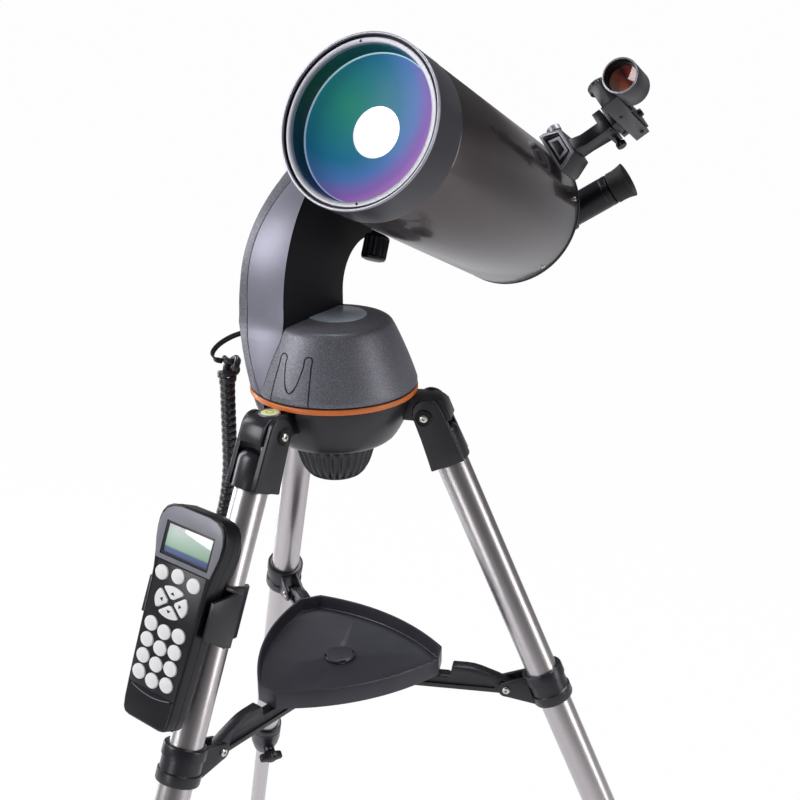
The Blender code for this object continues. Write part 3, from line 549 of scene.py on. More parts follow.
LEAD_WIDE, COIL_WIDE, CORD_THICK = 5.4, 6.7, 2.2
COIL_PITCH, COIL_R = 7.0, 6.4
KNOT_AT, KNOT_SIZE, KNOT_STEPS = Vector((-88.5, -45.5, 17.5)), 3.1, 96


def knot_point(t):
    """Trefoil."""
    return KNOT_AT + KNOT_SIZE * Vector((math.sin(t) + 2 * math.sin(2 * t), -1.2 * math.sin(3 * t),
                                         math.cos(t) - 2 * math.cos(2 * t)))


def cords():
    lead_path = even(smooth_route(LEAD_ROUTE, 12), 1.5)
    lead_sides = [Vector((-0.3, -0.4, 0.85)).normalized() for _ in lead_path]
    lead = ribbon("cord_lead_flat", lead_path, lead_sides, LEAD_WIDE, CORD_THICK)
    lead.data.materials.append(CORD_BLACK)
    lead.data.shade_smooth()
    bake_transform(lead)
    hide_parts("cord_lead")

    knot_path = [knot_point(2 * math.pi * k / KNOT_STEPS) for k in range(KNOT_STEPS + 1)]
    knot_sides = [(p - KNOT_AT).cross(Vector((0.3, 1, 0.2))) for p in knot_path]
    knot = ribbon("cord_knot", knot_path, knot_sides, 6.6, 5.2)
    coil_path, coil_sides = helix(smooth_route(COIL_ROUTE, 12), COIL_PITCH, COIL_R)
    coil = ribbon("cord_coil_turns", coil_path, coil_sides, COIL_WIDE, CORD_THICK)
    done(coil, CORD_BLACK, "leg_1", ["cord_coil"])
    done(knot, CORD_BLACK, "leg_1")


cords()


# ---- optical tube ----------------------------------------------------------------------------
def optical_tube():
    shell = [(72.0, -106), (72.4, -105), (72.4, 158.3), (72.0, 159), (70.9, 159), (70.9, -106)]
    fine(turned("tube_skin", shell, TUBE, 192), TUBE_PAINT, "tube_shell")
    cell = [(72.6, 159.8), (72.7, 160.5), (72.7, 197.6), (70.6, 197.6), (70.6, 193.6), (69.2, 193.6),
            (69.2, 181), (68.0, 172), (68.0, 145), (70.4, 145), (70.4, 159.8)]
    fine(turned("cell_skin", cell, TUBE, 192), SATIN, "front_cell")
    lip = [(72.7, 197.8), (72.7, 199.2), (72.2, 199.9), (71.6, 200), (71.0, 199.9), (70.6, 199.3),
           (70.6, 197.8)]
    done(turned("front_lip", lip, TUBE, 192), SILVER, "optical_tube")
    # Near-black ring at the bottom of the groove: painted shade.
    groove = [(70.5, 193.8), (70.5, 196.2), (68.8, 196.2), (68.8, 193.8)]
    done(turned("front_groove", groove, TUBE, 160), DEEP_BLACK_AND_SHADE, "optical_tube")
    ring = [(68.7, 194), (68.7, 196.9), (68.3, 197.3), (65.0, 197.3), (64.4, 196.9), (64.2, 196.0),
            (64.2, 193.9)]
    ring = turned("retaining_ring", ring, TUBE, 192)
    holes = [rod("hole", 1.2, 194.5, 199, TUBE, 24, centre=(-13.8 * s, 64.9 * s, 0)) for s in (1, -1)]
    cut(ring, *holes)
    done(ring, SILVER, "optical_tube")
    # Near-black discs at the bottom of the spanner holes: painted shade.
    for side, end in ((1, "top"), (-1, "low")):
        done(rod(f"spanner_hole_{end}", 1.15, 194.6, 195.4, TUBE, 24,
                 centre=(-13.8 * side, 64.9 * side, 0)), DEEP_BLACK_AND_SHADE, "optical_tube")

    def hollow(edge, steps, z):
        """The corrector's hollow face out to a radius."""
        radii = [edge * i / steps for i in range(steps + 1)]
        return [(r, z + LENS_CURVE - math.sqrt(LENS_CURVE ** 2 - r * r)) for r in radii]

    dish = turned("corrector_dish", hollow(61.6, 20, 167.8) + [(61.6, 166), (0, 163)], TUBE, 160)
    done(dish, COATING_PAINTED_REFLECTION, "optical_tube", ["corrector_lens"])
    wall = [(62.1, 179.3), (62.6, 180.2), (63.9, 193.6), (64.1, 193.8), (69, 193.8), (69, 178)]
    done(turned("corrector_edge", wall, TUBE, 160), EDGE, "optical_tube")
    glint = [(61.5, 178.9), (61.7, 180.0), (62.3, 180.5), (62.6, 180.0), (62.3, 178.9)]
    done(turned("corrector_glint", glint, TUBE, 160), LIP_LIGHT, "optical_tube")
    # The spot is painted white and glowing, a painted reflection of the lights.
    spot = hollow(21.5, 8, 168.1) + [(21.5, 168.2), (0, 167)]
    done(turned("mirrored_spot", spot, TUBE, 96), SPOT_REFLECTION, "optical_tube")

    back = [(72.6, -106.3), (72.7, -107), (72.7, -108.3), (72.2, -109.3), (71.0, -110), (60, -110),
            (59, -109.2), (57, -109.2), (56, -110), (19.5, -110), (19.5, -104.4), (67, -104.4),
            (67, -96), (70.4, -96), (70.4, -106.3)]
    back = turned("rear_skin", back, TUBE, 160)
    cut(back, rod("hole", 3.5, -115, -100, TUBE, 40, centre=(30, -32, 0)))
    fine(back, SATIN, "rear_cell")
    knob = [(0, -97), (3.1, -97), (3.1, -110.4), (8, -110.4), (8, -112), (11.8, -112.6),
            (12.5, -114), (12.5, -115), (12.5, -130), (12.5, -131), (11.6, -132.6), (9, -133),
            (8.4, -132.4), (0, -132.4)]
    fine(turned("focus_grip", knob, TUBE, 144, centre=(30, -32, 0),
                flute=fluted(36, 0.7, -130.5, -114.5)), BLACK, "focus_knob", 24)
    port = [(26, -110.3), (26, -114.4), (25.4, -115), (22.4, -116.4), (22, -117.4), (22, -132),
            (21.4, -133.6), (20.8, -134.3), (20.0, -134.5), (16.4, -134.5), (16.2, -134.3),
            (16.2, -104.4), (19.2, -104.4), (19.2, -110.3)]
    fine(turned("port_skin", port, TUBE, 160, flute=fluted(48, 0.5, -131, -118)), BLACK, "visual_back", 24)
    for i in range(6):
        a = math.radians(60 * i + 15)
        put = TUBE @ shift(71.9 * math.cos(a), 71.9 * math.sin(a), -98) @ spin(a) @ spin(math.pi / 2, "Y")
        socket_screw(f"tube_screw_{i}", 2.1, 1.0, put, "optical_tube")
    for i in range(3):
        a = math.radians(120 * i + 90)
        put = TUBE @ shift(46 * math.cos(a), 46 * math.sin(a), -110) @ spin(math.pi, "X")
        socket_screw(f"rear_screw_{i}", 2.8, 1.6, put, "optical_tube")
    rail = prism("dovetail_skin", [(-87, -22), (-87, 22), (-73.4, 18), (-73.4, -18)], -62, 62, TUBE)
    fine(soften(rail, 1.0), SATIN, "dovetail_bar")


def eyepiece_end():
    outline = [(-19, 26), (-19, 10), (10, -20), (19, -20), (19, 26)]
    body = soften(prism("diagonal_skin", outline, -18, 18, DIAGONAL, "X"), 2.2)
    nose = rod("nose", 15.9, 20, 71, DIAGONAL, 96)
    socket = turned("socket", [(0, 15), (18.2, 15), (18.6, 24), (18.6, 36.8), (18.0, 38), (0, 38)],
                    DIAGONAL, 96, "Y")
    join(body, nose, socket)
    cut(body, rod("bore", 13, -6, 75, DIAGONAL, 64),
            rod("bore", 15.9, 20, 45, DIAGONAL, 96, "Y"), rod("bore", 12.4, -4, 30, DIAGONAL, 64, "Y"))
    fine(body, BLACK, "star_diagonal", 30)
    barrel = [(0, 26), (13, 26), (13, 21), (15.6, 21), (15.6, 38.3), (15.6, 39), (16.2, 39.6),
              (16.2, 42), (15.8, 42.4), (15.8, 43.4), (16.2, 43.8), (16.2, 80), (15.9, 80.4),
              (15.9, 81.2), (16.2, 81.6), (16.2, 86.4), (15.9, 86.7), (14, 88), (14, 97), (10.4, 97),
              (9.6, 95), (0, 94.2)]
    fine(turned("eyepiece_barrel", barrel, DIAGONAL, 144, "Y"), BLACK, "eyepiece", 30)
    done(turned("eye_lens", [(0, 96.2), (5, 95.9), (9.4, 95.1), (9.4, 94), (0, 94)], DIAGONAL, 64, "Y"),
         LENS_GLASS, "eyepiece")
    cup = [(16.2, 88.4), (16.6, 89), (16.5, 95), (17.0, 100), (18.0, 104.5), (18.6, 106.4),
           (18.4, 107), (17.7, 107), (16.4, 103), (15.4, 99), (14.4, 97), (14.4, 88.4)]
    fine(turned("eyecup_skin", cup, DIAGONAL, 128, "Y"), RUBBER, "eyecup")
    screw = DIAGONAL @ shift(0, 30, 0) @ spin(math.radians(62), "Y")
    head = [(0, 18.4), (1.6, 18.4), (1.6, 21.5), (3.6, 22), (4.2, 22.8), (4.2, 26.4), (3.6, 27.2),
            (0, 27.2)]
    head = turned("eyepiece_screw", head, screw, 60, flute=fluted(20, 0.3, 22.5, 26.5))
    done(head, SCREW, "diagonal", smooth=24)


def red_dot_finder():
    front, back = -52.4, -91.4                             # ends of the shoe
    shoe = prism("shoe_skin", both_sides([(21, 72.9), (21, 78), (14, 94)]), back, front, FINDER)
    slot = prism("slot", both_sides([(13, 77), (9.5, 90)]), back - 5, front + 5, FINDER)
    cut(shoe, slot, block("mouth", (-7, 80, back - 5), (7, 100, front - 9), FINDER))
    fine(soften(shoe, 0.7, 2), BLACK, "finder_shoe", 30)
    outer = both_sides([(20.6, 73.3), (20.6, 78.1), (13.7, 93.6)])
    inner = both_sides([(16.6, 75.6), (16.8, 78.2), (11.8, 90.6)])
    edge = prism("shoe_face", outer, front + 0.1, front + 0.9, FINDER)
    cut(edge, prism("hole", inner, front - 1, front + 2, FINDER))
    done(soften(edge, 0.25, 2), SILVER, "optical_tube", smooth=30)
    foot = prism("base_skin", both_sides([(12.4, 77.4), (9.0, 89.6)]), back + 1, front - 1, FINDER)
    stalk = loft("stalk", [(88, 6.4, -92, -62), (104, 6.0, -94, -72), (126, 6.0, -100, -74)], FINDER)
    join(foot, stalk, block("cradle", (-11, 124, -100), (11, 139.7, -63), FINDER))
    cut(foot, block("notch", (-14, 132.5, -102), (14, 134.0, -60), FINDER))
    fine(soften(foot, 0.7, 2), BLACK, "finder_base", 30)
    face = prism("base_face", both_sides([(11.6, 78), (8.8, 89.2)]), front - 1, front - 0.4, FINDER)
    cut(face, prism("hole", both_sides([(8.6, 80), (6.2, 86.8)]), front - 3, front + 1, FINDER))
    done(face, SILVER, "optical_tube", smooth=30)
    thumb = [(0, -14), (2, -14), (2, -20), (6.2, -20.5), (7, -21.4), (7, -26.2), (6.2, -27), (0, -27)]
    done(turned("shoe_screw", thumb, FINDER, 80, "X", (0, 86, -67), fluted(24, 0.5, -26, -21.5)),
         SILVER, "optical_tube", smooth=24)
    body = block("finder_skin", (-12, 140.0, -122), (12, 158, -19), FINDER)
    join(body, block("post", (-9, 150, -44), (9, 160, -19), FINDER))
    cut(body, rod("seat", 17.3, -60, 0, FINDER, 96, centre=HOOD_AXIS))
    cut(body, block("step", (-14, 155, -123), (14, 160, -62), FINDER))
    fine(soften(body, 0.9, 2), HEAD_GREY, "finder_body", 30)
    lid = block("finder_lid", (-9, 155.2, -118), (9, 157.4, -66), FINDER)
    done(soften(lid, 0.8, 2), BLACK, "optical_tube")
    button = [(0, 157), (4, 157), (4, 160.4), (3.4, 161.2), (0, 161.4)]
    done(turned("finder_button", button, FINDER, 48, "Y", (0, 0, -100)), BLACK, "optical_tube")
    hood = [(16.6, -47.8), (17, -47.2), (17, -13), (16.8, -12.3), (16.2, -12), (15.2, -12.3),
            (14.8, -13), (14.6, -14), (14.6, -47.8)]
    fine(turned("hood_skin", hood, FINDER, 128, centre=HOOD_AXIS), HEAD_GREY, "finder_hood")
    rim = [(16.9, -12.6), (16.5, -11.7), (15.8, -11.6), (15.1, -12.2), (15.2, -12.8)]
    done(turned("hood_rim", rim, FINDER, 128, centre=HOOD_AXIS), SILVER, "optical_tube")
    lens = [(0, -29), (6, -28.6), (11, -27.6), (14.5, -26.5), (14.5, -30), (0, -32)]
    done(turned("hood_lens", lens, FINDER, 96, centre=HOOD_AXIS), RED_LENS, "optical_tube")
    for k, z in enumerate((-18, -22.5)):
        baffle = [(14.6, z), (13.6, z - 0.4), (13.6, z - 1.2), (14.6, z - 1.6)]
        done(turned(f"hood_baffle_{k}", baffle, FINDER, 96, centre=HOOD_AXIS), BLACK, "optical_tube")
    dial = [(0, -12.3), (9.4, -12.3), (10.4, -13), (10.5, -14), (10.5, -18.6), (9.6, -19.7),
            (8.2, -20), (7.6, -19.4), (0, -19.4)]
    fine(turned("dial_grip", dial, FINDER, 120, "X", (0, 146, -37), flute=fluted(30, 0.45, -18.7, -13.9)),
         BLACK, "finder_dial", 24)
    for k, (y, z) in enumerate(((131, -71), (137.6, -92), (146, -58), (150, -112))):
        socket_screw(f"finder_screw_{k}", 2.2, 0.9, FINDER, "optical_tube", "X",
                     (12 if y > 139 else 11, y, z), mat=BLACK)
    knob = [(0, 11), (2, 11), (2, 14), (4.6, 14.4), (5, 15), (5, 19), (4.4, 19.6), (0, 19.6)]
    done(turned("tilt_screw", knob, FINDER, 60, "X", (0, 128.5, -96), fluted(18, 0.4, 14.9, 19.1)),
         BLACK, "optical_tube", smooth=24)


def altitude_drive():
    saddle = soften(block("saddle_skin", (-106, -36, -42), (-87.4, 36, 42), TUBE), 3.0)
    hub = turned("hub", [(0, -110.4), (36.8, -110.4), (38, -109.2), (38, -105), (0, -105)], TUBE, 128, "X")
    upper = block("upper", (-88, 22.6, -40), (-78, 34, 40), TUBE)
    lower = block("lower", (-88, -34, -40), (-78, -22.6, 40), TUBE)
    join(saddle, hub, upper, lower)
    cut(saddle, rod("bore", 3.5, -40, -20, TUBE, 32, "Y", (-83, 0, 0)))
    fine(saddle, SATIN, "saddle_plate", 30)
    knob = [(0, -22.4), (3.1, -22.4), (3.1, -50), (6.5, -50), (6.5, -55), (8, -55.6), (11.2, -57),
            (12.2, -59), (12.4, -60), (12.4, -77), (12.2, -78.5), (11.2, -80.4), (8, -81.5), (0, -81.7)]
    fine(turned("clamp_grip", knob, TUBE, 168, "Y", (-83, 0, 0), flute=fluted(14, 1.7, -78, -59.5, 0.6)),
         BLACK, "clamp_knob", 30)
    washer = [(3.4, -36.4), (8, -36.4), (8, -38), (3.4, -38)]
    done(turned("clamp_washer", washer, TUBE, 64, "Y", (-83, 0, 0)), SCREW, "clamp_knob")
    shaft = [(0, -110.7), (11.8, -110.7), (11.8, -119.5), (34, -119.5), (34, -127), (11, -127),
             (11, -131), (0, -131)]
    fine(turned("altitude_wheel", shaft, TUBE, 240, "X"), BRASS, "altitude_gear")


# ---- arm and dome -------------------------------------------------------------------------------
def arm_outline(inset=0.0, fine_steps=1):
    """Side view of the arm: front, head, hollow, foot and toe."""
    front = arc((101, 80), 152 - inset, 180, 96, 15 * fine_steps)
    head = arc((96, 178.5), 53.3 - inset, 84, -88, 14 * fine_steps)
    hollow = arc((92, 80), 45 + inset, 88, 180, 9 * fine_steps)
    toe = [(-69.5, 18), (-65.9, 29), (-61.4, 42), (-57.4, 53), (-54.6, 59), (-52.6, 65), (-51.4, 72)]
    toe = [(y + inset * 1.06, z) for y, z in toe]
    foot = [(47 - inset, 5.6 + inset), (-73.2 + inset, 5.6 + inset)]
    return front + head + hollow + foot + toe


def arm_round(inset=0.0):
    """Body of revolution that rounds the foot of the arm to follow the dome."""
    profile = [(80.0, 0), (80.4, 4), (84.0, 24), (86.2, 41), (87.2, 53), (88.0, 62), (89.8, 72), (95, 84),
               (140, 100), (140, 260)]
    profile = [(0, 0)] + [(radius - inset, z) for radius, z in profile] + [(0, 260)]
    return turned("arm_round", profile, MOUNT, 256)


def seam_x(z):
    """Line between the arm's shell and its outer cover."""
    if z < 70:
        return -61.0 + 29.0 * ((70 - z) / 66) ** 1.5
    if z < 115:
        return -61.0
    return -61.0 + 18.0 * ((min(z, 190.0) - 115) / 75) ** 2 + max(0.0, z - 190) * 0.22


def outer_x(z):
    """Outer face of the cover."""
    foot = -1.2 * min(1.0, max(0.0, 105 - z) / 25)
    lean = 14.0 * (max(0.0, min(z, 190.0) - 105) / 85) ** 2
    return -70.0 + foot + lean + max(0.0, z - 190) * 0.26


def front_view(name, left, right):
    """The part of the arm between two lines as seen from the front."""
    heights = [4, 8, *range(12, 63, 5), 66, 70, 80, *range(105, 131, 5), 138, 145, 152, 160, 167, 175, 182,
               190, 205, 240]
    return prism(name, [(z, left(z)) for z in heights] + [(z, right(z)) for z in reversed(heights)],
                 -80, 180, MOUNT, "Y")


def arm():
    shell = prism("arm_skin", arm_outline(0, 4), -95, -20, MOUNT, "X")
    keep(shell, front_view("keep", seam_x, lambda z: -10.0), arm_round())
    cut(shell, prism("inner", arm_outline(3.5, 2), -95, -23.5, MOUNT, "X"),
            rod("bearing", 12.4, -30, -10, MOUNT, 64, "X", (0, PIVOT_Y, PIVOT_Z)),
            rod("gear_room", GEAR_ROOM_R, 0, GEAR_ROOM_TOP, MOUNT, 64))
    soften(shell, 0.7, 3, 40)
    fine(shell, ARM_GREY, "arm_shell", 40)
    # Inner faces that look towards the tube get the painted shade copy.
    shell.data.materials.append(ARM_INNER_SHADE)
    for face in shell.data.polygons:
        if face.normal.x > 0.8 and face.center.x > (AXIS_X - 21.5) * MM:
            face.material_index = 1
    cover = prism("cover_skin", arm_outline(0.2, 4), -95, -21, MOUNT, "X")
    keep(cover, front_view("skin", outer_x, lambda z: seam_x(z) - 0.9), arm_round(0.1))
    room = prism("room", arm_outline(4.0, 2), -95, 0, MOUNT, "X")
    hollow = front_view("hollow", lambda z: outer_x(z) + 3.0, lambda z: 0.0)
    keep(hollow, room, arm_round(3.5))
    cut(cover, hollow, rod("gear_room", GEAR_ROOM_R, 0, GEAR_ROOM_TOP, MOUNT, 64))
    soften(cover, 2.0, 3, 40)
    fine(cover, DOME_GREY, "arm_cover", 40)
    for k, (y, z) in enumerate(((-30, 60), (30, 30), (70, 215), (130, 190))):
        put = MOUNT @ shift(outer_x(z) + 0.3, y, z) @ spin(-math.pi / 2, "Y")
        socket_screw(f"cover_screw_{k}", 2.6, 0.7, put, "drive_arm", mat=BLACK)
    done(soften(block("port_plate", (-72.6, -12, 26), (-70.6, 34, 54), MOUNT), 1.0), BLACK, "drive_arm")
    for k, (y, outer, inner) in enumerate(((22, 4.6, 2.9), (8, 5.4, 2.2))):
        jack = [(outer, -74.0), (outer, -71), (inner, -71), (inner, -74.0)]
        done(turned(f"jack_{k}", jack, MOUNT, 48, "X", (0, y, 40)), SATIN, "drive_arm")
    boot = [(0, -71.0), (5.2, -71.0), (5.0, -73), (4.4, -75.6), (3.6, -77.0), (0, -77.0)]
    done(turned("cord_boot", boot, MOUNT, 48, "X", (0, -18, 46)), BLACK, "drive_arm")


def dome_radius(z):
    lift = max(0.0, z - 8)
    return 79.9 - 0.33 * lift - 0.0016 * lift * lift


def dome_profile(wall=3.5):
    outside = [(79.0, 4.0), (79.7, 4.4), (79.9, 5.2)]
    outside += [(dome_radius(z), z) for z in range(8, 60, 3)]
    outside += [(57.9, 60.6), (56.9, 62.6), (55.4, 64.3), (53.6, 65.5), (51.6, 66.0), (40, 66.3)]
    inside = [(51, 66 - wall)] + [(dome_radius(z) - wall, z) for z in (55, 42, 30, 18)]
    inside += [(79.9 - wall, 4)]
    return [(0, 66.4)] + outside[::-1] + inside[::-1] + [(0, 66 - wall)]


def hatch_outline(grow=0.0):
    """M shape of the battery door in (z, x), with rounded ears and notch."""
    ears = [(1, 20.0), (10, 19.2), (20, 18.3), (30, 17.2), (38, 16.2)]
    tip = arc((43.2, 13.0), 3.2, 75, -75, 7)
    notch = [(38, 10.2), (30, 8.8), (23, 7.2), (18, 5.2), (15, 3.0), (13.8, 0.0)]
    right = [(z + grow * 0.2, x + grow) for z, x in ears]
    right += [(z + grow * (z - 43.2) / 3.2, x + grow * (x - 13) / 3.2) for z, x in tip]
    right += [(z + grow * 0.9 * (x < 6), x - grow * (x > 2)) for z, x in notch]
    mirrored = [(z, -x) for z, x in reversed(right) if x > 0]
    return [(z, x + 3.0) for z, x in right + mirrored]


def dome():
    shell = turned("dome_skin", dome_profile(), MOUNT, 192)
    cut(shell, prism("notch", arm_outline(-1.3, 3), -99, -18.8, MOUNT, "X"),
            prism("room", hatch_outline(1.3), -99, -50, MOUNT, "Y"))
    fine(shell, DOME_GREY, "dome_housing", 30)
    # Flat top faces get the darker copy: painted dark reflection.
    shell.data.materials.append(DOME_TOP_DARK_REFLECTION)
    for face in shell.data.polygons:
        if face.normal.z > 0.97 and face.center.z > (RING_Z + 60) * MM:
            face.material_index = 1
    door = turned("door_skin", dome_profile(2.0), MOUNT, 192)
    keep(door, prism("keep", hatch_outline(), -99, -51, MOUNT, "Y"))
    fine(door, DOME_GREY, "battery_door", 30)

    def sunk(name):
        """Dark shell under the seams, painted shade seen through the gaps."""
        profile = [(max(0.0, radius - 0.7), z - 0.5 * (z > 60)) for radius, z in dome_profile(1.8)]
        return turned(name, profile, MOUNT, 128)
    seam_shade = sunk("hatch_seam_shade")
    keep(seam_shade, prism("keep", hatch_outline(1.25), -99, -48, MOUNT, "Y"))
    cut(seam_shade, prism("door_room", hatch_outline(0.15), -99, -48, MOUNT, "Y"))
    done(seam_shade, DEEP_BLACK_AND_SHADE, "drive_arm", smooth=30)
    seam_shade = sunk("arm_seam_shade")
    keep(seam_shade, prism("keep", arm_outline(-1.2, 2), -99, -18.9, MOUNT, "X"))
    done(seam_shade, DEEP_BLACK_AND_SHADE, "drive_arm", smooth=30)
    # Near-black ring in the gap between dome and accent ring: painted shade.
    rim = [(79.2, 2.7), (79.6, 3.0), (79.6, 3.7), (79.2, 4.0), (74, 4.0), (74, 2.7)]
    done(turned("dome_gap", rim, MOUNT, 160), DEEP_BLACK_AND_SHADE, "tripod_head")
    ring = [(79.9, -2.5), (80.4, -2.0), (80.6, -1.0), (80.6, 1.0), (80.4, 2.0), (79.9, 2.5),
            (73, 2.6), (73, -2.6)]
    fine(turned("ring_skin", ring, MOUNT, 192), ORANGE, "accent_ring")
    badge = prism("badge", arc((-5, 13), 29, 0, 360 - 360 / 96, 96), 66.0, 66.9, MOUNT)
    cut(badge, block("arm_side", (-60, -60, 60), (-19.4, 60, 70), MOUNT))
    done(soften(badge, 0.3, 2), BADGE, "drive_arm", smooth=30)


# ---- tripod --------------------------------------------------------------------------------------
def tripod_head():
    outside = [(77.4, -2.8), (78, -3.4), (77.9, -6), (77, -10), (75.9, -14), (74.5, -18), (72.9, -22),
               (71, -26), (69.1, -30), (67, -34), (65, -38), (63, -41.4), (61.3, -44.2), (59.2, -47),
               (56, -49.6), (53.4, -50.8), (50, -51.6), (42, -52)]
    inside = [(0, 26), (18.4, 26), (19, 25.4), (19, -2), (24, -4), (24, -36), (46, -36), (62, -14),
              (66, -2.8)]
    hole = [(6.5, -52), (6.5, -30), (0, -30)]
    head = turned("head_skin", inside + outside + hole, MOUNT, 160)
    for plane in PLANES:
        cut(head, block("pocket", (69.5, -20.3, -31), (130, 20.3, 0), plane))
    for plane in PLANES:
        outline = [(-4.2, 60), (-4.2, 98), (-5.2, 101.5), (-7.4, 105.8), (-10.6, 109.6), (-24.6, 115.4),
                   (-33, 101), (-33, 92), (-28, 84), (-27, 56)]
        lug = soften(prism("lug", outline, -13.5, 13.5, plane, "Y"), 0.9, 2)
        join(head, lug)
        cut(head, rod("hole", 4.4, -20, 20, plane, 48, "Y", (HINGE_R, 0, HINGE_Z)))
    level_at = (LEVEL_R * math.cos(LEG_ANGLES[0]), LEVEL_R * math.sin(LEG_ANGLES[0]), 0)
    cut(head, rod("seat", 11, -7, 0, MOUNT, 64, centre=level_at))
    fine(head, HEAD_GREY, "tripod_head", 30)
    vial = [(0, -6.7), (10.4, -6.7), (10.4, -3.8), (10.2, -3.2), (9.6, -3.0), (8.9, -3.1), (8.6, -3.6),
            (0, -3.6)]
    fine(turned("level_ring", vial, MOUNT, 96, centre=level_at), SILVER, "bubble_level")
    # The level's liquid carries a painted glow.
    liquid = [(0, -2.9), (4, -3.0), (7, -3.2), (8.5, -3.5), (8.5, -3.7), (0, -3.7)]
    done(turned("level_liquid", liquid, MOUNT, 96, centre=level_at), VIAL_GLOWING, "tripod_head")
    mark = [(3.6, -2.94), (3.6, -2.8), (3.2, -2.8), (3.2, -2.94)]
    done(turned("level_mark", mark, MOUNT, 48, centre=level_at), DEEP_BLACK_AND_SHADE, "tripod_head")
    cup = [(0, -34), (6.1, -34), (6.1, -52.4), (40.5, -52.4), (41.3, -53.2), (41.2, -55), (40.2, -58),
           (38, -64), (36.6, -69), (35, -74), (33.4, -78.4), (31.5, -82), (29.8, -84.8), (28, -87),
           (26.2, -88.8), (24, -90), (18, -90.6), (12, -90.6), (11, -89.4), (0, -89.4)]
    fine(turned("mount_grip", cup, MOUNT, 240, flute=fluted(30, 2.2, -88, -57.5, 0.5)), HEAD_GREY,
         "mount_knob", 30)


def leg(number, place):
    name = f"leg_{number}"
    side = [(19.5, -53.6), (19.2, -40), (18.8, -20), (18.5, -6), (18.2, 3), (17.6, 6.6), (16.5, 9.5),
            (14.6, 12.3), (12, 14.5), (9.2, 16.1), (6, 17), (3.4, 17.1), (1, 16.5), (-1.4, 15.6),
            (-3.5, 14.2), (-6.4, 12.1), (-8.5, 9.5), (-9.8, 6.8), (-10.4, 4), (-11.5, -20), (-13, -38),
            (-14.5, -53.6)]
    cheeks = prism(f"leg_head_skin_{number}", [(z, x) for x, z in side], -19.5, 19.5, place, "Y")
    soften(cheeks, 1.4, 3)
    cut(cheeks, block("slot", (-40, -13.9, -60), (40, 13.9, 40), place))
    housing = [(0, -19.4), (14.2, -19.4), (15.2, -19.8), (16.4, -21.2), (18.3, -23.6), (19.1, -26),
               (19.4, -30), (19.4, -52.6), (18.9, -54), (17.8, -54.5), (0, -54.5)]
    join(cheeks, turned("housing", housing, place, 96, centre=LEG_AXIS))
    cut(cheeks, rod("bore", LEG_R + 0.3, -70, -23, place, 96, centre=LEG_AXIS))
    join(cheeks, rod("pin", 4.0, -19, 19, place, 40, "Y"))
    fine(cheeks, HEAD_GREY, f"leg_head_{number}", 32)
    for sign, end in ((1, "r"), (-1, "l")):
        washer = [(0, 19.3), (8.4, 19.3), (8.4, 20.0), (7.8, 20.4), (7.2, 20.0), (6.8, 20.0), (6.4, 20.7),
                  (5.6, 20.7), (5.2, 20.2), (0, 20.2)]
        washer = [(radius, y * sign) for radius, y in washer]
        done(turned(f"hinge_washer_{number}_{end}", washer, place, 64, "Y"), BLACK, name)
        socket_screw(f"hinge_bolt_{number}_{end}", 4.2, 2.6, place, name, "Y", (0, 20.0 * sign, 0), sign)
    upper = [(LEG_R, COLLAR_TOP - 8), (LEG_R, -23.8), (LEG_R - 0.3, -23.4), (LEG_R - 1.2, -23.4),
             (LEG_R - 1.2, COLLAR_TOP - 8)]
    fine(turned(f"leg_tube_skin_{number}", upper, place, 96, centre=LEG_AXIS), STEEL,
         f"leg_tube_{number}")
    floor_z = -(RING_Z + HINGE_Z) / math.cos(LEG_SPLAY)
    top = floor_z + 42
    lower = [(0, -500), (14.2, -500), (14.2, -520), (10.3, -522), (10.3, top - 2), (0, top - 2)]
    fine(turned(f"leg_lower_skin_{number}", lower, place, 72, centre=LEG_AXIS), STEEL,
         f"leg_lower_{number}")
    foot = [(10.4, 0), (12.2, 0), (12.8, -1), (13.2, -14), (14.4, -20), (14.5, -26), (14.5, -54), (0, -54),
            (0, -8), (10.4, -8)]
    foot = [(radius, top + z) for radius, z in foot]
    foot = turned(f"foot_{number}", foot, place, 72, centre=LEG_AXIS)
    cut(foot, block("ground", (-900, -900, -100), (900, 900, 0), Matrix.Identity(4)))
    done(foot, RUBBER, f"lower_{number}", smooth=30)
    lock = [(20, -3), (19.4, -0.8), (18.2, 0), (16.3, 0), (16.3, -8.4), (10.8, -8.4), (10.8, -58),
            (13.6, -58), (14.6, -57), (15.4, -54), (18.6, -42), (20, -32), (20, -12), (19.2, -11),
            (19.2, -9), (20, -8)]
    lock = [(radius, COLLAR_TOP + z) for radius, z in lock]
    collar = turned(f"collar_skin_{number}", lock, place, 96, centre=LEG_AXIS)
    at = (0, 0, COLLAR_TOP - 40)
    join(collar, rod("boss", 8, -22, -8, place, 48, "X", at, 0.8))
    cut(collar, rod("bore", 10.8, COLLAR_END - 5, COLLAR_TOP - 8.4, place, 64, centre=LEG_AXIS),
            rod("thread", 3.4, -30, -2, place, 32, "X", at))
    fine(collar, HEAD_GREY, f"lock_collar_{number}", 30)
    wing = prism(f"wing_skin_{number}", arc((-11.4, 0), 4.4, 110, 250, 8) + [(-4, -6.2), (4, -6.2)]
                 + arc((11.4, 0), 4.4, -70, 70, 8) + [(4, 6.2), (-4, 6.2)], -33, -23.4,
                 place @ shift(*at), "X")
    join(soften(wing, 1.6, 3), rod("stem", 3.0, -26, -8, place, 32, "X", at),
            rod("hub", 7, -34, -22.4, place, 48, "X", at, 0.8))
    fine(wing, BLACK, f"lock_knob_{number}", 32)
    brace_clamp(number, place)
    brace(number, PLANES[number - 1])


def in_leg(radius, height):
    out, up = radius - HINGE_R, height - HINGE_Z
    return (out * math.cos(LEG_SPLAY) + up * math.sin(LEG_SPLAY),
            up * math.cos(LEG_SPLAY) - out * math.sin(LEG_SPLAY))


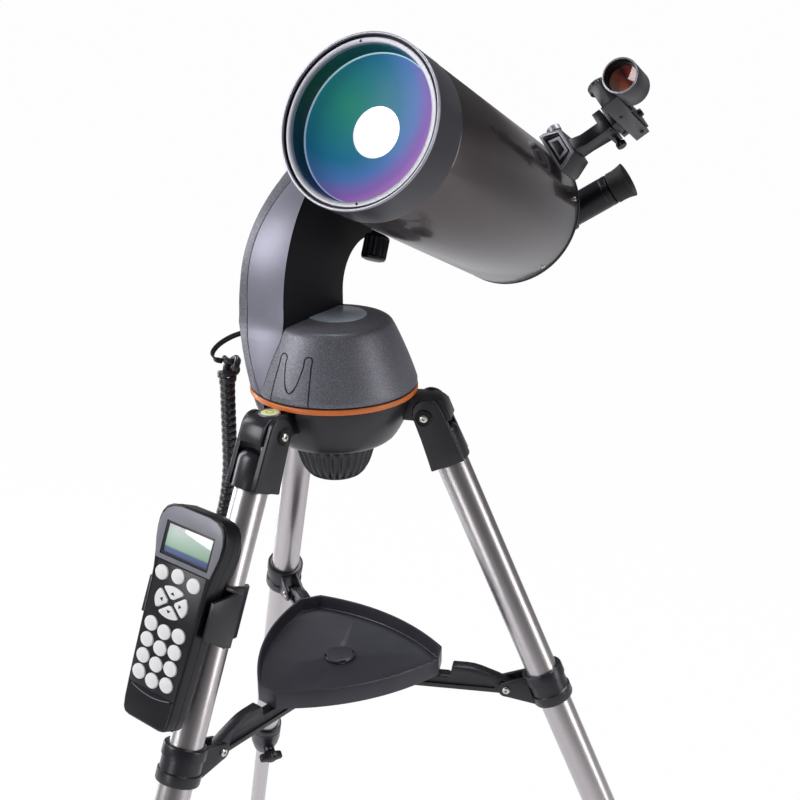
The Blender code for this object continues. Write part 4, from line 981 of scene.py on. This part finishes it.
def brace_clamp(number, place):
    x, z = in_leg(BRACE_OUT_R, BRACE_OUT_Z)
    ring = [(21, -16), (20.4, -17.5), (19.4, -18), (16.2, -18), (16.2, 18), (19.4, 18), (20.4, 17.5),
            (21, 16), (21, 7), (19.6, 6), (19.6, -6), (21, -7)]
    ring = [(radius, (CLAMP_TOP + CLAMP_END) / 2 + z) for radius, z in ring]
    ring = turned(f"clamp_skin_{number}", ring, place, 96, centre=LEG_AXIS)
    outline = arc((z, x), 8.5, -160, -20, 14) + [(CLAMP_TOP - 2, -14), (CLAMP_END + 2, -14)]
    ears = [soften(prism("ear", outline, low, high, place, "Y"), 0.8, 2)
            for low, high in ((-10.5, -6.6), (6.6, 10.5))]
    join(ring, *ears, rod("pin", 2.8, -9, 9, place, 32, "Y", (x, 0, z)))
    fine(ring, HEAD_GREY, f"brace_clamp_{number}", 32)
    for sign, end in ((1, "r"), (-1, "l")):
        socket_screw(f"brace_bolt_{number}_{end}", 4.0, 2.4, place, f"leg_{number}", "Y",
                     (x, 10.5 * sign, z), sign)


def brace(number, plane):
    outer = arc((BRACE_OUT_Z, BRACE_OUT_R), 7.5, 180, 60, 12)
    inner = arc((BRACE_IN_Z, BRACE_IN_R), 6.5, 0, -180, 12)
    outline = outer + [(-306, 166), (-300, 149), (-298.2, 142), (-297.5, 134), (-297.5, 120),
                       (-298.6, 118.8), (-309, 117)] + inner + [(-324.3, 60)]
    arm_piece = soften(prism(f"brace_skin_{number}", outline, -6, 6, plane, "Y"), 0.8, 2)
    pocket = [(-313, 60), (-313, 112), (-303, 121), (-303, 138), (-310, 160), (-319, 164), (-319.5, 62)]
    cuts = [soften(prism("pocket", pocket, low, high, plane, "Y"), 1.2, 2)
            for low, high in ((-9, -3.4), (3.4, 9))]
    cut(arm_piece, *cuts,
            rod("hole", 3.1, -10, 10, plane, 32, "Y", (BRACE_OUT_R, 0, BRACE_OUT_Z)))
    fine(arm_piece, HEAD_GREY, f"brace_arm_{number}", 32)


def tray_outline(inset=0.0):
    corner, half = 106.0 - inset, 12.0 - inset * 0.6
    points = []
    for angle in LEG_ANGLES:
        start = Vector((corner, half))
        end = Matrix.Rotation(math.radians(120), 2) @ Vector((corner, -half))
        chord = (start + end) / 2
        bow = (80.0 - inset) - chord.length
        for i in range(33):
            t = i / 32
            point = start.lerp(end, t) + chord.normalized() * bow * 4 * t * (1 - t)
            points.append(tuple(Matrix.Rotation(angle, 2) @ point))
    return points


def tray():
    dish = prism("tray_skin", tray_outline(), -305, -286, MOUNT)
    inside = soften(prism("inside", tray_outline(2.4), -301, -270, MOUNT), 1.6, 3)
    under = prism("under", tray_outline(2.4), -312, -303.5, MOUNT)
    cut(dish, inside, under, rod("hole", 5.5, -320, -290, MOUNT, 48))
    soften(dish, 0.55, 2, 50)
    fine(dish, TRAY_BLACK, "tray", 30)
    hub = [(5.5, -303.8), (14, -303.8), (14, -308), (46, -309.5), (47.6, -310.4), (48, -311.4),
           (48, -321), (47.2, -323), (45.4, -324), (5.5, -324)]
    hub = turned("hub_skin", hub, MOUNT)
    cut(hub, *(block("slot", (17, -6.6, -340), (60, 6.6, -300), plane) for plane in PLANES))
    fine(soften(hub, 0.6, 2, 50), HEAD_GREY, "brace_hub", 32)
    cap = [(0, -297.6), (12.6, -297.7), (14.8, -298.1), (15.8, -298.8), (16, -299.6), (16, -300.7),
           (5.1, -300.7), (5.1, -320), (0, -320)]
    cap = turned("cap_skin", cap, MOUNT)
    cut(cap, *(block("notch", (13.6, -3.2, -300.4), (20, 3.2, -290),
                     MOUNT @ spin(math.radians(45 + 90 * i))) for i in range(4)))
    fine(soften(cap, 0.3, 2, 50), TRAY_BLACK, "tray_knob", 30)


# ---- hand control ----------------------------------------------------------------------------------
def control_outline(inset=0.0):
    top, end = -77.5 - inset, -271.0 + inset
    half = [(26.0, end + 1.2), (29.0, end + 5), (30.6, end + 14), (32.6, -220), (34.0, -180),
            (34.8, -150), (36.0, top - 60), (38.6, top - 47), (41.6, top - 36), (43.2, top - 26),
            (43.2, top - 18), (41.4, top - 11), (37.4, top - 5.6), (31, top - 2.4), (20.0, top - 0.4)]
    return both_sides([(20, end)] + [(y - inset, z) for y, z in half])


KEY_WIDEN, KEY_R = 1.27, 6.6                               # the keys are ovals, wider than tall
KEYS_Y, ROSE_Z = -1.2, -162.0                              # middle of the keys and of the arrows
TOP_ROW_Z, FIRST_ROW_Z, ROW_STEP = -138.2, -188.6, 14.7
KEY_FIELD = [(-32, -130.4), (-30.6, -242), (30.6, -242), (32, -130.4)]


def key(name, y, z, face, place):
    """Oval key with a domed top."""
    profile = [(0, face - 2.2), (KEY_R, face - 2.2), (KEY_R, face + 0.5), (KEY_R * 0.94, face + 1.1),
               (KEY_R * 0.8, face + 1.4), (0, face + 1.55)]
    put = place @ shift(0, y, z) @ Matrix.Diagonal((1, KEY_WIDEN, 1, 1))
    return done(turned(name, profile, put, 48, "X"), KEY_WHITE, "keypad")


def hand_control(place):
    back, face = 30.0 + LEG_OFFSET, 62.0 + LEG_OFFSET
    case = soften(prism("control_skin", control_outline(), back + 11, face, place, "X"), 2.4, 4)
    join(case, soften(prism("control_back", control_outline(9.0), back, back + 16, place,
                                        "X"), 1.5, 3))
    room = prism("room", KEY_FIELD, face - 2.2, face + 5, place, "X")
    window = soften(block("window", (face - 2.2, -31.5, -125.6), (face + 5, 31.5, -94.4), place), 0.5, 2)
    cut(case, room, window)
    fine(case, BLACK, "hand_control", 35)
    seam = prism("control_seam", control_outline(-0.15), back + 20, back + 20.7, place, "X")
    done(seam, DEEP_BLACK_AND_SHADE, "leg_1")
    panel = both_sides([(35.2, -129.4), (38.2, -119), (40.6, -109), (40.9, -99), (39.0, -91), (35.0, -85.4),
                        (28, -81.6), (18, -79.8)])
    panel = soften(prism("control_panel", panel, face - 1.2, face + 0.35, place, "X"), 0.3, 2)
    cut(panel, block("hole", (face - 4, -31.2, -125.3), (face + 5, 31.2, -94.7), place))
    done(panel, CONTROL_TOP_GREY, "leg_1", smooth=30)
    frame_in = soften(block("screen_frame", (face - 2.1, -31, -125.1), (face - 0.4, 31, -94.9), place),
                      0.4, 2)
    cut(frame_in, block("hole", (face - 4, -28.6, -122.8), (face + 5, 28.6, -97), place))
    done(frame_in, SATIN, "leg_1")
    glass_pane = block("screen_glass", (face - 2.0, -29, -123), (face - 1.1, 29, -96.8), place)
    done(soften(glass_pane, 0.2, 2), SCREEN, "leg_1")
    mat_piece = prism("keypad_skin", [(y * 0.992, z + 0.3 * (z < -200) - 0.3 * (z > -200))
                                      for y, z in KEY_FIELD], face - 2.0, face - 0.1, place, "X")
    fine(soften(mat_piece, 0.2, 2), BLACK, "keypad")
    for k, y in enumerate((-20.8, 0.0, 20.8)):
        key(f"key_top_{k}", y + KEYS_Y, TOP_ROW_Z - 0.005 * y * y, face, place)
    for row in range(4):
        for k, y in enumerate((-18.2, 0.0, 18.2)):
            z = FIRST_ROW_Z - ROW_STEP * row + 0.007 * y * y
            key(f"key_{row}_{k}", y + KEYS_Y, z, face, place)
    rose = place @ shift(0, KEYS_Y, ROSE_Z) @ Matrix.Diagonal((1, 1.5, 1, 1))
    quarter = [(3.0, 1.3), (12.2, 1.3)] + arc((0, 0), 14.2, 8, 82, 10) + [(1.3, 12.2), (1.3, 3.0)]
    point = [(9.6, 0), (7.0, 1.9), (7.0, -1.9)]
    for k in range(4):
        wedge = prism(f"key_arrow_{k}", turned_by(quarter, 90 * k + 45), face - 2.2, face + 1.5, rose, "X")
        done(soften(wedge, 0.7, 3), KEY_WHITE, "keypad", smooth=30)
        done(prism(f"arrow_mark_{k}", turned_by(point, 90 * k + 90), face + 1.4, face + 1.62, rose, "X"),
             DEEP_BLACK_AND_SHADE, "keypad")
    line = [(y, z) for z, y in arc((-160, 0), 86, -163, -197, 25)]
    line += [(y, z - 0.7) for y, z in reversed(line)]
    done(prism("control_line", line, face - 0.2, face + 0.25, place, "X"), CONTROL_TOP_GREY, "leg_1")
    holder(place, back)


def holder(place, back):
    low, high = -190.0, -141.0
    outer, inner, edge = 20.5, LEG_R + 0.3, 0.8
    ring = [(outer, low + edge), (outer, high - edge), (outer - edge, high), (inner + edge, high),
            (inner, high - edge), (inner, low + edge), (inner + edge, low), (outer - edge, low)]
    clip = turned("holder_skin", ring, place, 96, centre=LEG_AXIS)
    plate = block("plate", (back - 10, -41, low), (back - 0.5, 41, high), place)
    walls = []
    for side in (-1, 1):
        near, far = sorted((side * 38.6, side * 42.0))
        outline = [(low + 3, back - 8), (low, back), (low + 8, back + 26), (high - 8, back + 26),
                   (high, back), (high - 3, back - 8)]
        walls.append(prism("wall", outline, near, far, place, "Y"))
    join(clip, plate, *walls)
    cut(clip, block("mouth", (-40, -9, low - 5), (-6, 9, high + 5), place),
            rod("bore", LEG_R + 0.3, low - 5, high + 5, place, 96, centre=LEG_AXIS))
    fine(soften(clip, 0.7, 2, 50), HEAD_GREY, "control_holder", 32)


optical_tube()
eyepiece_end()
red_dot_finder()
altitude_drive()
arm()
dome()
tripod_head()
for number, place in enumerate(LEGS, 1):
    leg(number, place)
tray()
hand_control(LEGS[0])

# Hidden parts keep their CAD shape.
PLAIN = {"primary_mirror": MIRROR, "baffle_tube": DEEP_BLACK_AND_SHADE, "altitude_worm": SCREW, "azimuth_worm": SCREW,
         "azimuth_gear": BRASS}
for node, mat in PLAIN.items():
    piece = frame["nodes"][node]
    if not piece.material_slots:
        piece.data.materials.append(mat)
    for entry in piece.material_slots:
        entry.material = mat


# ---- studio ------------------------------------------------------------------------------------------
def camera_white(tree, shader, to_camera, shine=0.0):
    """White as far as the camera sees it, partly so in reflections, and the given shader for the rest."""
    rays = add(tree, "LightPath")
    seen, total = add(tree, "Math"), add(tree, "Math")
    seen.operation, total.operation = "MULTIPLY", "MULTIPLY_ADD"
    seen.inputs[1].default_value, total.inputs[1].default_value = to_camera, shine
    link(rays.outputs["Is Camera Ray"], seen.inputs[0])
    link(rays.outputs["Is Glossy Ray"], total.inputs[0])
    link(seen.outputs["Value"], total.inputs[2])
    white = add(tree, "Emission", Color=(1, 1, 1, 1))
    mix = add(tree, "MixShader")
    link(total.outputs["Value"], mix.inputs["Fac"])
    link(shader, mix.inputs[1])
    link(white.outputs["Emission"], mix.inputs[2])
    return mix.outputs["Shader"]


def light(name, place, aim, size, power, colour=(1, 1, 1)):
    data = bpy.data.lights.new(name, "AREA")
    data.shape, (data.size, data.size_y) = "RECTANGLE", size
    data.energy, data.color = power, colour
    lamp = bpy.data.objects.new(name, data)
    bpy.context.scene.collection.objects.link(lamp)
    lamp.location = place
    lamp.rotation_euler = (Vector(aim) - Vector(place)).to_track_quat("-Z", "Y").to_euler()


def studio():
    mesh = bpy.data.meshes.new("floor")
    mesh.from_pydata([(x, y, 0) for x, y in arc((0, 0), 90, 0, 352.5, 48)], [], [tuple(range(48))])
    floor = bpy.data.objects.new("floor", mesh)
    bpy.context.scene.collection.objects.link(floor)
    floor.location.z = -0.0005
    mat, tree, shader = nodes_of("floor")
    put_in(shader, Base_Color=(0.80, 0.80, 0.82, 1), Roughness=0.9, Specular_IOR_Level=0.1)
    link(camera_white(tree, shader.outputs["BSDF"], 0.985, 0.22),
         tree.nodes["Material Output"].inputs["Surface"])
    mesh.materials.append(mat)

    light("key", (-1.5, -1.5, 2.0), (0.0, 0.0, 0.95), (1.2, 1.2), 30)
    light("left", (-2.2, 0.3, 1.2), (0.0, 0.0, 0.8), (0.7, 2.2), 26, (0.94, 0.97, 1.0))
    light("right", (2.2, 0.5, 1.3), (0.0, 0.0, 0.8), (0.6, 2.0), 16, (1.0, 0.99, 0.97))
    light("top", (0.2, 0.9, 2.8), (0.0, 0.1, 0.9), (2.0, 1.0), 40)
    light("low_front", (-0.6, -2.4, 0.5), (0.0, 0.0, 0.6), (1.0, 0.5), 6)

    world = bpy.data.worlds.new("world")
    bpy.context.scene.world = world
    world.use_nodes = True
    tree = world.node_tree
    sky = tree.nodes["Background"]
    link(gradient(tree, "Generated", "Z", -1.0, 1.0,
                  [(0.0, (0.5, 0.5, 0.52)), (0.49, (0.42, 0.41, 0.40)), (0.62, (0.10, 0.10, 0.105)),
                   (0.85, (0.16, 0.16, 0.17)), (1.0, (0.30, 0.30, 0.32))]), sky.inputs["Color"])
    put_in(sky, Strength=0.8)
    link(camera_white(tree, sky.outputs["Background"], 1.0), tree.nodes["World Output"].inputs["Surface"])
    bpy.context.scene.view_settings.view_transform = "Standard"


studio()
